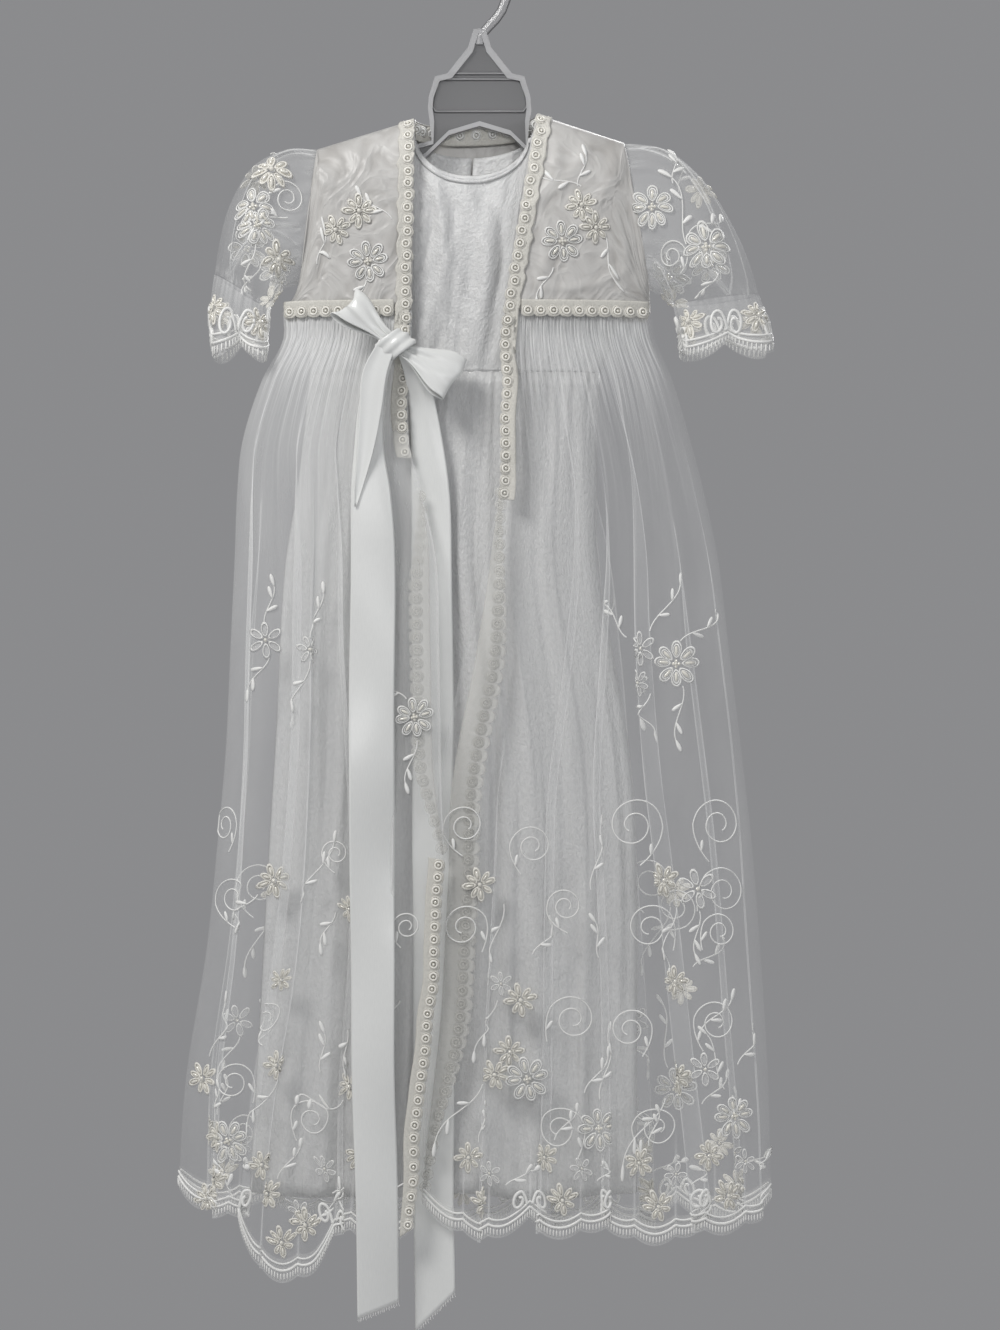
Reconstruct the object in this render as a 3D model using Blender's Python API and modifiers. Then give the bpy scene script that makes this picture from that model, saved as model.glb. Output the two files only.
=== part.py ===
"""Christening gown on a child's hanger.

A sleeveless satin dress hangs inside an open organza robe with puffed sleeves, ring-lace trims, a
scalloped lace hem and a satin ribbon tied in a bow.  Metres, +Z up, the front faces -Y.  The origin is
the inside top of the hanger's hook, where the gown hangs from a rail.
"""

import math
from collections import namedtuple

import bmesh
import bpy
from mathutils import Matrix, Vector

# ---------------------------------------------------------------- driving dimensions
ORGANZA = 0.0010          # wall of the sheer robe cloth
SATIN = 0.0012            # wall of the dress cloth
LACE = 0.0014             # wall of the ring-lace trims and of the lace borders
RIBBON = 0.0010           # wall of the ribbon
SEAM_GAP = 0.0010         # space between the middles of two cut edges, 0.3 mm where the walls turn
CLEAR = 0.0004            # space between a panel and what lies on it
HEM_GAP = 0.0010          # space above a lace border, whose columns differ from the panel's
MID_X = -0.012            # middle of the gown between its side seams

ROBE_WAIST_Z = -0.2275    # seam between the robe's bodice and its skirt
DRESS_WAIST_Z = -0.2665   # seam between the dress's bodice and its skirt
TRIM_WIDTH = 0.0105       # ring-lace trim
LEFT_LIFT = 0.0055        # how far the left front's edge stands out over the right front's
BAND = 0.9                # share of a front panel's width param that lies beside its trim

SIDE_POWER = 2.4          # how boxy a flattened tube is where it turns at the side seams
SIDE_EASE = 1.6           # how much closer a front's columns stand beside its side seam
FULL_EASE = 2.0           # the same on a panel that has two side seams

# Rows down and columns across the panels, as shares of their length and width.
SKIRT_ROWS = [0.0, 0.010, 0.07, 0.17, 0.32, 0.50, 0.70, 0.88, 1.0]
DRESS_ROWS = [0.0, 0.05, 0.2, 0.4, 0.7, 1.0]
ROBE_BODY_ROWS = [0.0, 0.02, 0.07, 0.16, 0.32, 0.95, 1.0]
DRESS_BODY_ROWS = [0.0, 0.02, 0.07, 0.16, 0.32, 1.0]
FRONT_COLUMNS = 18
BACK_COLUMNS = 27
DRESS_FRONT_COLUMNS = 23
DRESS_BACK_COLUMNS = 19
SHOULDER_U = 0.18         # where a full bodice's armhole ends and its shoulder seam starts
NECK_U = 0.34             # where that shoulder seam ends and the neckline starts
FRONT_SHOULDER_U = 0.42   # where an open front's armhole ends and its shoulder seam starts
ROBE_BODY_HALF = [0.0, 0.045, 0.09, 0.135, SHOULDER_U, 0.26, NECK_U, 0.40, 0.45, 0.5]
DRESS_BODY_HALF = [0.0, 0.04, 0.09, 0.14, SHOULDER_U, 0.26, NECK_U, 0.36, 0.39, 0.44, 0.5]
ROBE_FRONT_BODY = [0.0, 0.10, 0.21, 0.32, FRONT_SHOULDER_U, 0.58, 0.74, BAND, 0.95, 1.0]

# ---------------------------------------------------------------- tables of sections
Tube = namedtuple("Tube", "z left right front back")        # side edges and depths before and behind
Opening = namedtuple("Opening", "z left right")             # the robe's two front edges
Fold = namedtuple("Fold", "top hem width depth")            # a ridge, places as shares of the panel
Hem = namedtuple("Hem", "u z")                              # height of a panel's lower edge
Shoulder = namedtuple("Shoulder", "neck_x neck_z tip_x tip_z arm_x arm_z")
Ring = namedtuple("Ring", "outer_x outer_z inner_x inner_z depth")
Strip = namedtuple("Strip", "z x width y")                  # a hanging ribbon's centre, width and depth

ROBE = [
    Tube(-0.2275, -0.1313, 0.1073, 0.0205, 0.0190),
    Tube(-0.2460, -0.1313, 0.1105, 0.0215, 0.0195),
    Tube(-0.2720, -0.1450, 0.1216, 0.0230, 0.0205),
    Tube(-0.3110, -0.1575, 0.1333, 0.0250, 0.0215),
    Tube(-0.3430, -0.1610, 0.1417, 0.0265, 0.0220),
    Tube(-0.3890, -0.1628, 0.1515, 0.0280, 0.0225),
    Tube(-0.4470, -0.1655, 0.1585, 0.0290, 0.0230),
    Tube(-0.5120, -0.1685, 0.1665, 0.0290, 0.0235),
    Tube(-0.5700, -0.1736, 0.1730, 0.0290, 0.0240),
    Tube(-0.6420, -0.1810, 0.1788, 0.0290, 0.0240),
    Tube(-0.7270, -0.1945, 0.1840, 0.0290, 0.0245),
    Tube(-0.8070, -0.1996, 0.1859, 0.0290, 0.0250),
]
ROBE_OPENING = [
    Opening(-0.1000, -0.0450, 0.0335),
    Opening(-0.2275, -0.0468, 0.0117),
    Opening(-0.3110, -0.0488, 0.0098),
    Opening(-0.3430, -0.0415, 0.0090),
    Opening(-0.3890, -0.0310, 0.0000),
    Opening(-0.4470, -0.0290, -0.0130),
    Opening(-0.5320, -0.0275, -0.0293),
    Opening(-0.5900, -0.0262, -0.0315),
    Opening(-0.6750, -0.0312, -0.0358),
    Opening(-0.7400, -0.0390, -0.0384),
    Opening(-0.8300, -0.0465, -0.0410),
]
DRESS = [
    Tube(-0.2665, -0.1138, 0.0748, 0.0130, 0.0125),
    Tube(-0.2900, -0.1160, 0.0730, 0.0130, 0.0125),
    Tube(-0.3430, -0.1220, 0.0722, 0.0130, 0.0130),
    Tube(-0.3950, -0.1300, 0.0735, 0.0130, 0.0130),
    Tube(-0.5050, -0.1360, 0.0925, 0.0135, 0.0135),
    Tube(-0.5770, -0.1404, 0.0982, 0.0140, 0.0135),
    Tube(-0.7000, -0.1470, 0.0985, 0.0140, 0.0140),
    Tube(-0.8000, -0.1528, 0.0985, 0.0140, 0.0140),
]

ROBE_LEFT_FOLDS = [
    Fold(0.16, 0.18, 0.045, 0.0040),
    Fold(0.30, 0.33, 0.040, 0.0035),
    Fold(0.44, 0.49, 0.050, 0.0042),
    Fold(0.58, 0.63, 0.040, 0.0030),
    Fold(0.72, 0.77, 0.040, 0.0035),
]
ROBE_RIGHT_FOLDS = [
    Fold(0.15, 0.17, 0.040, 0.0035),
    Fold(0.28, 0.30, 0.035, 0.0040),
    Fold(0.40, 0.43, 0.045, 0.0045),
    Fold(0.53, 0.56, 0.035, 0.0030),
    Fold(0.64, 0.68, 0.040, 0.0038),
    Fold(0.76, 0.80, 0.035, 0.0030),
]
ROBE_BACK_FOLDS = [
    Fold(0.14, 0.13, 0.026, 0.0035),
    Fold(0.24, 0.24, 0.026, 0.0042),
    Fold(0.35, 0.34, 0.030, 0.0045),
    Fold(0.46, 0.46, 0.026, 0.0035),
    Fold(0.56, 0.57, 0.030, 0.0045),
    Fold(0.67, 0.68, 0.026, 0.0040),
    Fold(0.77, 0.78, 0.030, 0.0042),
    Fold(0.87, 0.88, 0.024, 0.0030),
]
DRESS_FRONT_FOLDS = [
    Fold(0.18, 0.17, 0.035, 0.0035),
    Fold(0.31, 0.30, 0.040, 0.0045),
    Fold(0.45, 0.43, 0.045, 0.0048),
    Fold(0.57, 0.58, 0.040, 0.0040),
    Fold(0.70, 0.72, 0.035, 0.0045),
    Fold(0.82, 0.84, 0.035, 0.0035),
]
DRESS_BACK_FOLDS = [
    Fold(0.20, 0.19, 0.040, 0.0038),
    Fold(0.38, 0.37, 0.045, 0.0045),
    Fold(0.60, 0.61, 0.045, 0.0045),
    Fold(0.80, 0.81, 0.040, 0.0038),
]

ROBE_LEFT_HEM = [Hem(0.0, -0.790), Hem(0.3, -0.799), Hem(0.55, -0.830), Hem(0.78, -0.801), Hem(1.0, -0.812)]
ROBE_RIGHT_HEM = [Hem(0.0, -0.798), Hem(0.35, -0.808), Hem(0.6, -0.803), Hem(0.85, -0.806), Hem(1.0, -0.797)]
ROBE_BACK_HEM = [Hem(0.0, -0.790), Hem(0.35, -0.804), Hem(0.7, -0.810), Hem(1.0, -0.798)]
DRESS_HEM_Z = -0.800
LACE_DROP = 0.0100        # lace border between two scallops
SCALLOP_DROP = 0.0120     # how much deeper the middle of a scallop reaches

# Neck point, shoulder tip and underarm of the left and right halves of each bodice.
ROBE_LEFT = Shoulder(-0.0450, -0.1027, -0.1086, -0.1222, -0.1200, -0.2130)
ROBE_RIGHT = Shoulder(0.0335, -0.0995, 0.0900, -0.1180, 0.1065, -0.2120)
DRESS_LEFT = Shoulder(-0.0468, -0.1118, -0.1010, -0.1275, -0.1155, -0.2050)
DRESS_RIGHT = Shoulder(0.0306, -0.1105, 0.0850, -0.1260, 0.0990, -0.2050)
ROBE_DEPTH = 0.0185       # half depth of the robe's bodice at the chest
DRESS_DEPTH = 0.0130
ROBE_ARMHOLE = 0.0150     # half depth of the armholes
DRESS_ARMHOLE = 0.0090
ROBE_NECK_DROP = 0.0040   # drop of each neckline below its neck points
DRESS_FRONT_NECK_DROP = 0.0305
DRESS_BACK_NECK_DROP = 0.0150
ROBE_NECK_DEPTH = 0.0150  # how far each neckline's middle stands from the shoulder seams
DRESS_FRONT_NECK_DEPTH = 0.0120
DRESS_BACK_NECK_DEPTH = 0.0115
SHOULDER_ROLL = 0.30      # share of the bodice's height in which it rolls over the shoulder

LEFT_SLEEVE = [
    Ring(-0.1104, -0.1222, -0.1240, -0.2092, 0.0150),
    Ring(-0.1290, -0.1215, -0.1295, -0.2108, 0.0205),
    Ring(-0.1500, -0.1340, -0.1335, -0.2150, 0.0255),
    Ring(-0.1655, -0.1610, -0.1360, -0.2185, 0.0265),
    Ring(-0.1730, -0.1860, -0.1388, -0.2215, 0.0235),
    Ring(-0.1755, -0.2030, -0.1405, -0.2243, 0.0185),
]
LEFT_CUFF = [
    Ring(-0.1758, -0.2036, -0.1408, -0.2249, 0.0185),
    Ring(-0.1795, -0.2290, -0.1410, -0.2395, 0.0205),
    Ring(-0.1775, -0.2490, -0.1410, -0.2480, 0.0215),
]
RIGHT_SLEEVE = [
    Ring(0.0910, -0.1180, 0.1074, -0.2117, 0.0150),
    Ring(0.1170, -0.1225, 0.1110, -0.2145, 0.0205),
    Ring(0.1420, -0.1430, 0.1150, -0.2170, 0.0255),
    Ring(0.1620, -0.1760, 0.1180, -0.2190, 0.0265),
    Ring(0.1735, -0.2020, 0.1210, -0.2210, 0.0235),
    Ring(0.1775, -0.2160, 0.1225, -0.2230, 0.0185),
]
RIGHT_CUFF = [
    Ring(0.1779, -0.2167, 0.1227, -0.2237, 0.0185),
    Ring(0.1840, -0.2330, 0.1250, -0.2380, 0.0205),
    Ring(0.1875, -0.2455, 0.1270, -0.2480, 0.0215),
]
CUFF_SCALLOPS = 4
CUFF_SCALLOP_DROP = 0.0090

# The hanging ends of the ribbon.
LEFT_TAIL = [
    Strip(-0.2625, -0.0710, 0.0140, -0.0310),
    Strip(-0.2900, -0.0730, 0.0150, -0.0300),
    Strip(-0.3300, -0.0770, 0.0120, -0.0325),
    Strip(-0.3600, -0.0770, 0.0200, -0.0345),
    Strip(-0.3900, -0.0722, 0.0260, -0.0360),
    Strip(-0.5000, -0.0715, 0.0260, -0.0375),
    Strip(-0.6500, -0.0712, 0.0260, -0.0378),
    Strip(-0.8000, -0.0690, 0.0260, -0.0380),
    Strip(-0.8700, -0.0680, 0.0260, -0.0380),
]
RIGHT_TAIL = [
    Strip(-0.2640, -0.0370, 0.0150, -0.0200),
    Strip(-0.3000, -0.0365, 0.0200, -0.0200),
    Strip(-0.3400, -0.0350, 0.0240, -0.0200),
    Strip(-0.3900, -0.0340, 0.0260, -0.0203),
    Strip(-0.5500, -0.0335, 0.0260, -0.0210),
    Strip(-0.7000, -0.0330, 0.0260, -0.0210),
    Strip(-0.8000, -0.0325, 0.0260, -0.0210),
    Strip(-0.8750, -0.0325, 0.0260, -0.0210),
]

# Folded-under edges of the robe: where they start and end, and how wide they are.
Turned = namedtuple("Turned", "start end width")
LEFT_TURNED = Turned(-0.3450, -0.5650, 0.0230)
RIGHT_TURNED = Turned(-0.3500, -0.7950, 0.0340)
TURNED_WALL = 0.0020      # folded cloth and the trim on it, as one
TURNED_DEPTH = 0.0034     # from the panel's middle to the folded edge's middle
TURNED_INSET = 0.0012     # from the panel's edge to the folded edge's

KNOT = Vector((-0.0665, -0.0325, -0.2530))
KNOT_SIZE = Vector((0.0180, 0.0135, 0.0210))
Loop = namedtuple("Loop", "angle length width height")
LEFT_LOOP = Loop(math.radians(132), 0.032, 0.022, 0.0050)
RIGHT_LOOP = Loop(math.radians(-30), 0.046, 0.027, 0.0060)
LOOP_START = 0.0086       # from the knot's middle to the loops' pinched ends
PINCH = 0.0110            # width of a loop where the knot grips it

LEFT_SLANT = 0.0080       # how much higher one corner of each ribbon end is cut
RIGHT_SLANT = 0.0240

# Trims.  The front trims run on below the waist seam, by a share of the skirt's length.
LEFT_TRIM_END = 0.14
RIGHT_TRIM_END = 0.20
LOW_TRIM_ROWS = [0.60, 0.70, 0.79, 0.88, 1.0, 1.2]
BELOW_HEM = 0.1           # the low trim hangs so many metres for each 1 of its row past the edge
WAIST_BAND = 0.0055       # the waist trim covers so much above and below the seam
WAIST_STOP = 0.010        # share of the width between the waist trim and the front trim
EASE = 0.0002             # more space under a trim whose columns differ from the panel's
NECK_TRIM_COLUMNS = [0.36, 0.40, 0.45, 0.5, 0.55, 0.60, 0.64]
NECK_TRIM_ROWS = [0.02, 0.07, 0.12]
BINDING_WALL = 0.0010
BINDING_ROWS = [0.0, 0.02, 0.034]
BINDING_LIFT = 0.0007     # space between the neck binding and the bodice it lies on

# Hanger and its hook.
HANGER_X = -0.0035
HANGER_THICK = 0.0060
HANGER_WEB = 0.0022
HANGER_RIM = 0.0030
HOOK_RADIUS = 0.0170
HOOK_TUBE = 0.0032
HOOK_NECK = [(0.0108, -0.0318), (0.0068, -0.0375), (0.0020, -0.0425), (-0.0035, -0.0490), (-0.0035, -0.0540)]

BUTTON_RADIUS = 0.0045
BUTTON_THICK = 0.0020
BUTTON_PLACES = (0.10, 0.45, 0.80)
BACK_SLIT = 0.0008        # half the slit down the dress's back, as a share of its width
BINDING_SLIT = 0.0020


# ---------------------------------------------------------------- materials
def finish(name, colour, roughness, metallic=0.0, alpha=1.0):
    """A Principled material with the piece's colour."""
    material = bpy.data.materials.new(name)
    material.use_nodes = True
    shader = material.node_tree.nodes["Principled BSDF"]
    shader.inputs["Base Color"].default_value = (*colour, 1.0)
    shader.inputs["Roughness"].default_value = roughness
    shader.inputs["Metallic"].default_value = metallic
    shader.inputs["Alpha"].default_value = alpha
    material.diffuse_color = (*colour, alpha)
    return material


def tint(kind):
    """Colour and roughness of each kind of cloth."""
    return {
        "satin": ((0.86, 0.87, 0.88), 0.32),
        "organza": ((0.78, 0.79, 0.79), 0.45),
        "lace": ((0.85, 0.83, 0.77), 0.70),
        "ribbon": ((0.78, 0.80, 0.80), 0.30),
        "plastic": ((0.42, 0.43, 0.44), 0.35),
    }[kind]


# ---------------------------------------------------------------- small helpers
def lerp(a, b, share):
    return a + (b - a) * share


def clamp(value):
    return min(1.0, max(0.0, value))


def smooth(share):
    """Eased step from 0 to 1."""
    share = clamp(share)
    return share * share * (3.0 - 2.0 * share)


def read(rows, column, at, key="z"):
    """A table's column at any place of its key, on a smooth curve through the rows."""
    keys = [getattr(row, key) for row in rows]
    values = [getattr(row, column) for row in rows]
    if keys[0] > keys[-1]:
        keys.reverse()
        values.reverse()
    if at <= keys[0]:
        return values[0]
    if at >= keys[-1]:
        return values[-1]
    i = max(k for k in range(len(keys) - 1) if keys[k] <= at)
    step = keys[i + 1] - keys[i]
    slopes = []
    for k in (i, i + 1):
        before = max(k - 1, 0)
        after = min(k + 1, len(keys) - 1)
        slopes.append((values[after] - values[before]) / (keys[after] - keys[before]))
    t = (at - keys[i]) / step
    return (
        (2 * t**3 - 3 * t**2 + 1) * values[i]
        + (t**3 - 2 * t**2 + t) * step * slopes[0]
        + (-2 * t**3 + 3 * t**2) * values[i + 1]
        + (t**3 - t**2) * step * slopes[1]
    )


def bulge(share):
    """Depth of a flattened tube, from 0 at its side seam (share 0) to 1 at its middle (share 1)."""
    return (1.0 - (1.0 - clamp(share)) ** SIDE_POWER) ** (1.0 / SIDE_POWER)


def ridges(folds, u, v):
    """How far the folds of a panel stand out.  They start flat at the gathers and deepen below."""
    insetn = smooth((v - 0.01) / 0.30)
    total = 0.0
    for fold in folds:
        place = lerp(fold.top, fold.hem, v)
        total += fold.depth * math.exp(-(((u - place) / fold.width) ** 2))
    return total * insetn


def even(count, start=0.0, end=1.0):
    """Evenly spaced shares, both ends included."""
    return [lerp(start, end, i / (count - 1)) for i in range(count)]


def mirrored(half):
    """Shares from 0 to 1, from those of its first half."""
    return half + [1.0 - u for u in reversed(half[:-1])]


def normal(surface, u, v):
    """Unit normal of a surface, by small steps that stay inside it."""
    step = 0.002
    across = surface(min(u + step, 1.0), v) - surface(max(u - step, 0.0), v)
    down = surface(u, min(v + step, 1.0)) - surface(u, max(v - step, 0.0))
    return across.cross(down).normalized()


# ---------------------------------------------------------------- building pieces
def keep(obj, kind, collection):
    """Name, colour and file a finished piece."""
    colour, roughness = tint(kind)
    obj.data.materials.clear()
    obj.data.materials.append(finish(obj.name + "_finish", colour, roughness))
    for other in list(obj.users_collection):
        other.objects.unlink(obj)
    collection.objects.link(obj)


def cloth(name, surface, us, vs, wall, kind, collection, round_piece=False):
    """A wall of cloth: a grid laid on a surface and given its thickness by Solidify."""
    grid = bmesh.new()
    bmesh.ops.create_grid(grid, x_segments=len(us) - 1, y_segments=len(vs) - 1, size=0.5)
    for vert in grid.verts:
        column = round((vert.co.x + 0.5) * (len(us) - 1))
        row = round((vert.co.y + 0.5) * (len(vs) - 1))
        vert.co = surface(us[column], vs[row])
    if round_piece:
        bmesh.ops.remove_doubles(grid, verts=grid.verts, dist=0.000001)
    mesh = bpy.data.meshes.new(name)
    grid.to_mesh(mesh)
    grid.free()
    mesh.shade_smooth()
    obj = bpy.data.objects.new(name, mesh)
    collection.objects.link(obj)
    thick = obj.modifiers.new("Solidify", "SOLIDIFY")
    thick.thickness = wall
    thick.offset = 0.0
    keep(obj, kind, collection)
    return obj


# ---------------------------------------------------------------- skirts
def skirt_half(tubes, side, depth_column, facing, z, x, extra):
    """Point of a flattened tube at a height and an x, on its front (facing -1) or back (facing 1)."""
    side_x = read(tubes, side, z)
    share = (x - side_x) / (MID_X - side_x)
    depth = read(tubes, depth_column, z)
    return Vector((x, facing * (SEAM_GAP / 2 + depth * bulge(share) + extra), z))


def edge_lift(side, z, from_edge):
    """The left front's edge lies over the right front's, so it stands a little further out."""
    if side == "right":
        return 0.0
    lower = smooth((-0.3400 - z) / 0.15)
    return LEFT_LIFT * lower * smooth(1.0 - (from_edge - TRIM_WIDTH) / 0.05)


def robe_front(side, hem, folds):
    """Surface of a robe front: u runs from the side seam to the front edge, v from waist to hem."""
    inward = 1.0 if side == "left" else -1.0

    def surface(u, v):
        z = lerp(ROBE_WAIST_Z - SEAM_GAP / 2, read(hem, "z", u, "u"), v)
        side_x = read(ROBE, side, z)
        edge_x = read(ROBE_OPENING, side, z)
        band_x = edge_x - inward * TRIM_WIDTH
        if u <= BAND:
            x = lerp(side_x, band_x, (u / BAND) ** SIDE_EASE)
        else:
            x = lerp(band_x, edge_x, (u - BAND) / (1.0 - BAND))
        quiet = smooth(u / 0.12) * smooth((BAND - u) / 0.10)
        out = ridges(folds, u, v) * quiet
        out += edge_lift(side, z, abs(edge_x - x))
        return skirt_half(ROBE, side, "front", -1.0, z, x, out)

    return surface


def full_width(tubes, depth_column, facing, top_z, hem_z, folds):
    """Surface of a panel from side seam to side seam: u runs from the left to the right."""

    def surface(u, v):
        z = lerp(top_z, hem_z(u), v)
        left = read(tubes, "left", z)
        right = read(tubes, "right", z)
        from_side = (1.0 - abs(2.0 * u - 1.0)) ** FULL_EASE
        if u <= 0.5:
            side = "left"
            x = lerp(left, MID_X, from_side)
        else:
            side = "right"
            x = lerp(right, MID_X, from_side)
        quiet = smooth(u / 0.08) * smooth((1.0 - u) / 0.08)
        return skirt_half(tubes, side, depth_column, facing, z, x, ridges(folds, u, v) * quiet)

    return surface


def below(panel, drop):
    """Surface of a border that hangs from a panel's lower edge, drop(u) deep."""

    def surface(u, w):
        point = panel(u, 1.0).copy()
        point.z -= HEM_GAP + w * drop(u)
        return point

    return surface


def scalloped(panel, count):
    """Depth of a lace border with so many equal scallops along a panel's lower edge."""
    start = panel(0.0, 1.0).x
    pitch = (panel(1.0, 1.0).x - start) / count

    def drop(u):
        turns = (panel(u, 1.0).x - start) / pitch
        return LACE_DROP + SCALLOP_DROP * abs(math.sin(math.pi * turns)) ** 0.6

    return drop


# ---------------------------------------------------------------- bodices
def armhole(shoulder, depth, share, facing):
    """Point on the armhole's edge, from the underarm (share 0) to the shoulder tip (share 1)."""
    turn = math.pi * share
    along = (1.0 - math.cos(turn)) / 2.0
    x = lerp(shoulder.arm_x, shoulder.tip_x, along)
    z = lerp(shoulder.arm_z, shoulder.tip_z, along)
    return Vector((x, facing * (SEAM_GAP / 2 + depth * math.sin(turn)), z))


def shoulder_line(shoulder, share, facing):
    """Point on the shoulder seam, from its tip (share 0) to the neck (share 1)."""
    x = lerp(shoulder.tip_x, shoulder.neck_x, share)
    z = lerp(shoulder.tip_z, shoulder.neck_z, share)
    return Vector((x, facing * SEAM_GAP / 2, z))


def bodice(top, bottom, facing, chest):
    """Ruled surface from a top edge to a waist ring, rolled over the shoulder and out to the chest."""

    def surface(u, v):
        above = top(u)
        under = bottom(u)
        point = above.lerp(under, v)
        roll = math.sqrt(1.0 - (1.0 - clamp(v / SHOULDER_ROLL)) ** 2)
        waist_depth = abs(under.y)
        full = lerp(min(chest, waist_depth * 1.02), waist_depth, v)
        point.y = facing * lerp(abs(above.y), full, roll)
        return point

    return surface


def robe_front_top(shoulder, u):
    """Top edge of a robe front: armhole, then shoulder seam, then the width of the trim."""
    tip_u = FRONT_SHOULDER_U
    trim_share = 1.0 - TRIM_WIDTH / abs(shoulder.tip_x - shoulder.neck_x)
    if u <= tip_u:
        return armhole(shoulder, ROBE_ARMHOLE, u / tip_u, -1.0)
    if u <= BAND:
        return shoulder_line(shoulder, trim_share * (u - tip_u) / (BAND - tip_u), -1.0)
    return shoulder_line(shoulder, lerp(trim_share, 1.0, (u - BAND) / (1.0 - BAND)), -1.0)


def full_top(left, right, hole_depth, neck_drop, neck_depth, facing):
    """Top edge of a full-width bodice panel: armhole, shoulder, neckline, shoulder, armhole."""

    def half(shoulder, u):
        if u <= SHOULDER_U:
            return armhole(shoulder, hole_depth, u / SHOULDER_U, facing)
        return shoulder_line(shoulder, (u - SHOULDER_U) / (NECK_U - SHOULDER_U), facing)

    def top(u):
        if u <= NECK_U:
            return half(left, u)
        if u >= 1.0 - NECK_U:
            return half(right, 1.0 - u)
        share = (u - NECK_U) / (1.0 - 2.0 * NECK_U)
        turn = math.pi * share
        across = (1.0 - math.cos(turn)) / 2.0
        x = lerp(left.neck_x, right.neck_x, across)
        z = lerp(left.neck_z, right.neck_z, across) - neck_drop * math.sin(turn)
        return Vector((x, facing * (SEAM_GAP / 2 + neck_depth * math.sin(turn)), z))

    return top


# ---------------------------------------------------------------- trims, sleeves, ribbon
def lifted(surface, distance):
    """A surface moved out along the panel's normal, towards the side that faces away from y = 0."""

    def moved(u, v):
        point = surface(u, v)
        out = normal(surface, u, v)
        if out.y * point.y < 0.0 or (abs(point.y) < SEAM_GAP and out.z < 0.0):
            out.negate()
        return point + out * distance

    return moved


def sleeve(rings):
    """Surface of a sleeve: u turns round the arm and v runs from the armhole to the cuff."""

    def surface(u, v):
        place = v * (len(rings) - 1)
        i = min(int(place), len(rings) - 2)
        ring = Ring(*(lerp(a, b, place - i) for a, b in zip(rings[i], rings[i + 1])))
        turn = 2.0 * math.pi * u
        along = (1.0 - math.cos(turn)) / 2.0
        x = lerp(ring.outer_x, ring.inner_x, along)
        z = lerp(ring.outer_z, ring.inner_z, along)
        return Vector((x, -ring.depth * math.sin(turn), z))

    return surface


def cuff(rings):
    """Surface of a lace cuff with scallops along its lower edge."""
    plain = sleeve(rings)

    def surface(u, v):
        point = plain(u, v)
        wave = abs(math.sin(math.pi * CUFF_SCALLOPS * u))
        point.z -= CUFF_SCALLOP_DROP * wave * smooth((v - 0.5) / 0.5)
        return point

    return surface


def hanging(strips, slant):
    """Surface of a hanging ribbon end, cut off at a slant."""

    def surface(u, v):
        z = lerp(strips[0].z, strips[-1].z, v)
        width = read(strips, "width", z)
        point = Vector((read(strips, "x", z) + width * (u - 0.5), read(strips, "y", z), z))
        point.z += slant * (u - 0.5) * smooth((v - 0.9) / 0.1)
        return point

    return surface


def ribbon_loop(loop):
    """Surface of a bow loop: v runs out from the knot, round the end and back behind."""
    away = Vector((math.cos(loop.angle), 0.0, math.sin(loop.angle)))
    across = Vector((-math.sin(loop.angle), 0.0, math.cos(loop.angle)))

    def surface(u, v):
        open_share = math.sin(math.pi * v)
        width = lerp(PINCH, loop.width, open_share**0.6)
        reach = LOOP_START + loop.length * open_share**0.8
        lean = -loop.height * math.cos(math.pi * v) * lerp(0.35, 1.0, open_share)
        return KNOT + away * reach + across * width * (u - 0.5) + Vector((0.0, lean, 0.0))

    return surface


def turned_edge(side, turned):
    """Surface of the robe's folded-under edge, behind its front panel."""
    inward = 1.0 if side == "left" else -1.0

    def surface(u, v):
        z = lerp(turned.start, turned.end, v)
        edge_x = read(ROBE_OPENING, side, z) - inward * TURNED_INSET
        width = turned.width * smooth(0.30 + v * 2.0) * smooth(0.30 + (1.0 - v) * 2.5)
        x = edge_x - inward * width * u
        out = edge_lift(side, z, width * u) - TURNED_DEPTH
        return skirt_half(ROBE, side, "front", -1.0, z, x, out)

    return surface


# ---------------------------------------------------------------- hanger
def hanger_outline(inset):
    """Right half of the hanger's outline from the neck down and round the arm, moved in by inset."""
    return [
        (0.0038 - inset, -0.0440 - inset),
        (0.0075 - inset, -0.0560 - inset),
        (0.0210 - inset, -0.0730 - inset),
        (0.0290 - inset, -0.0750 - inset),
        (0.0330 - inset, -0.0880 - inset * 0.3),
        (0.0335 - inset, -0.0960),
        (0.0325 - inset, -0.1040),
        (0.0312 - inset * 0.4, -0.1165 - inset * 0.8),
        (0.0480, -0.1212 - inset),
        (0.0800, -0.1310 - inset),
        (0.0840 - inset, -0.1345),
        (0.0835 - inset, -0.1410 + inset * 0.5),
        (0.0800, -0.1430 + inset),
        (0.0480, -0.1345 + inset),
        (0.0350, -0.1275 + inset),
        (0.0200, -0.1130 + inset),
        (0.0, -0.1070 + inset),
    ]


def flat_outline(name, halves, thickness, collection):
    """A flat curve with one or more closed outlines, extruded to a thickness and made a mesh."""
    curve = bpy.data.curves.new(name, "CURVE")
    curve.dimensions = "2D"
    curve.fill_mode = "BOTH"
    curve.extrude = thickness / 2
    for half in halves:
        loop = half + [(-x, z) for x, z in reversed(half) if x > 0.0]
        spline = curve.splines.new("POLY")
        spline.points.add(len(loop) - 1)
        for point, (x, z) in zip(spline.points, loop):
            point.co = (x + HANGER_X, z, 0.0, 1.0)
        spline.use_cyclic_u = True
    flat = bpy.data.objects.new(name + "_curve", curve)
    flat.rotation_euler = (math.radians(90), 0.0, 0.0)
    return curve_to_mesh(flat, name, collection)


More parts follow.
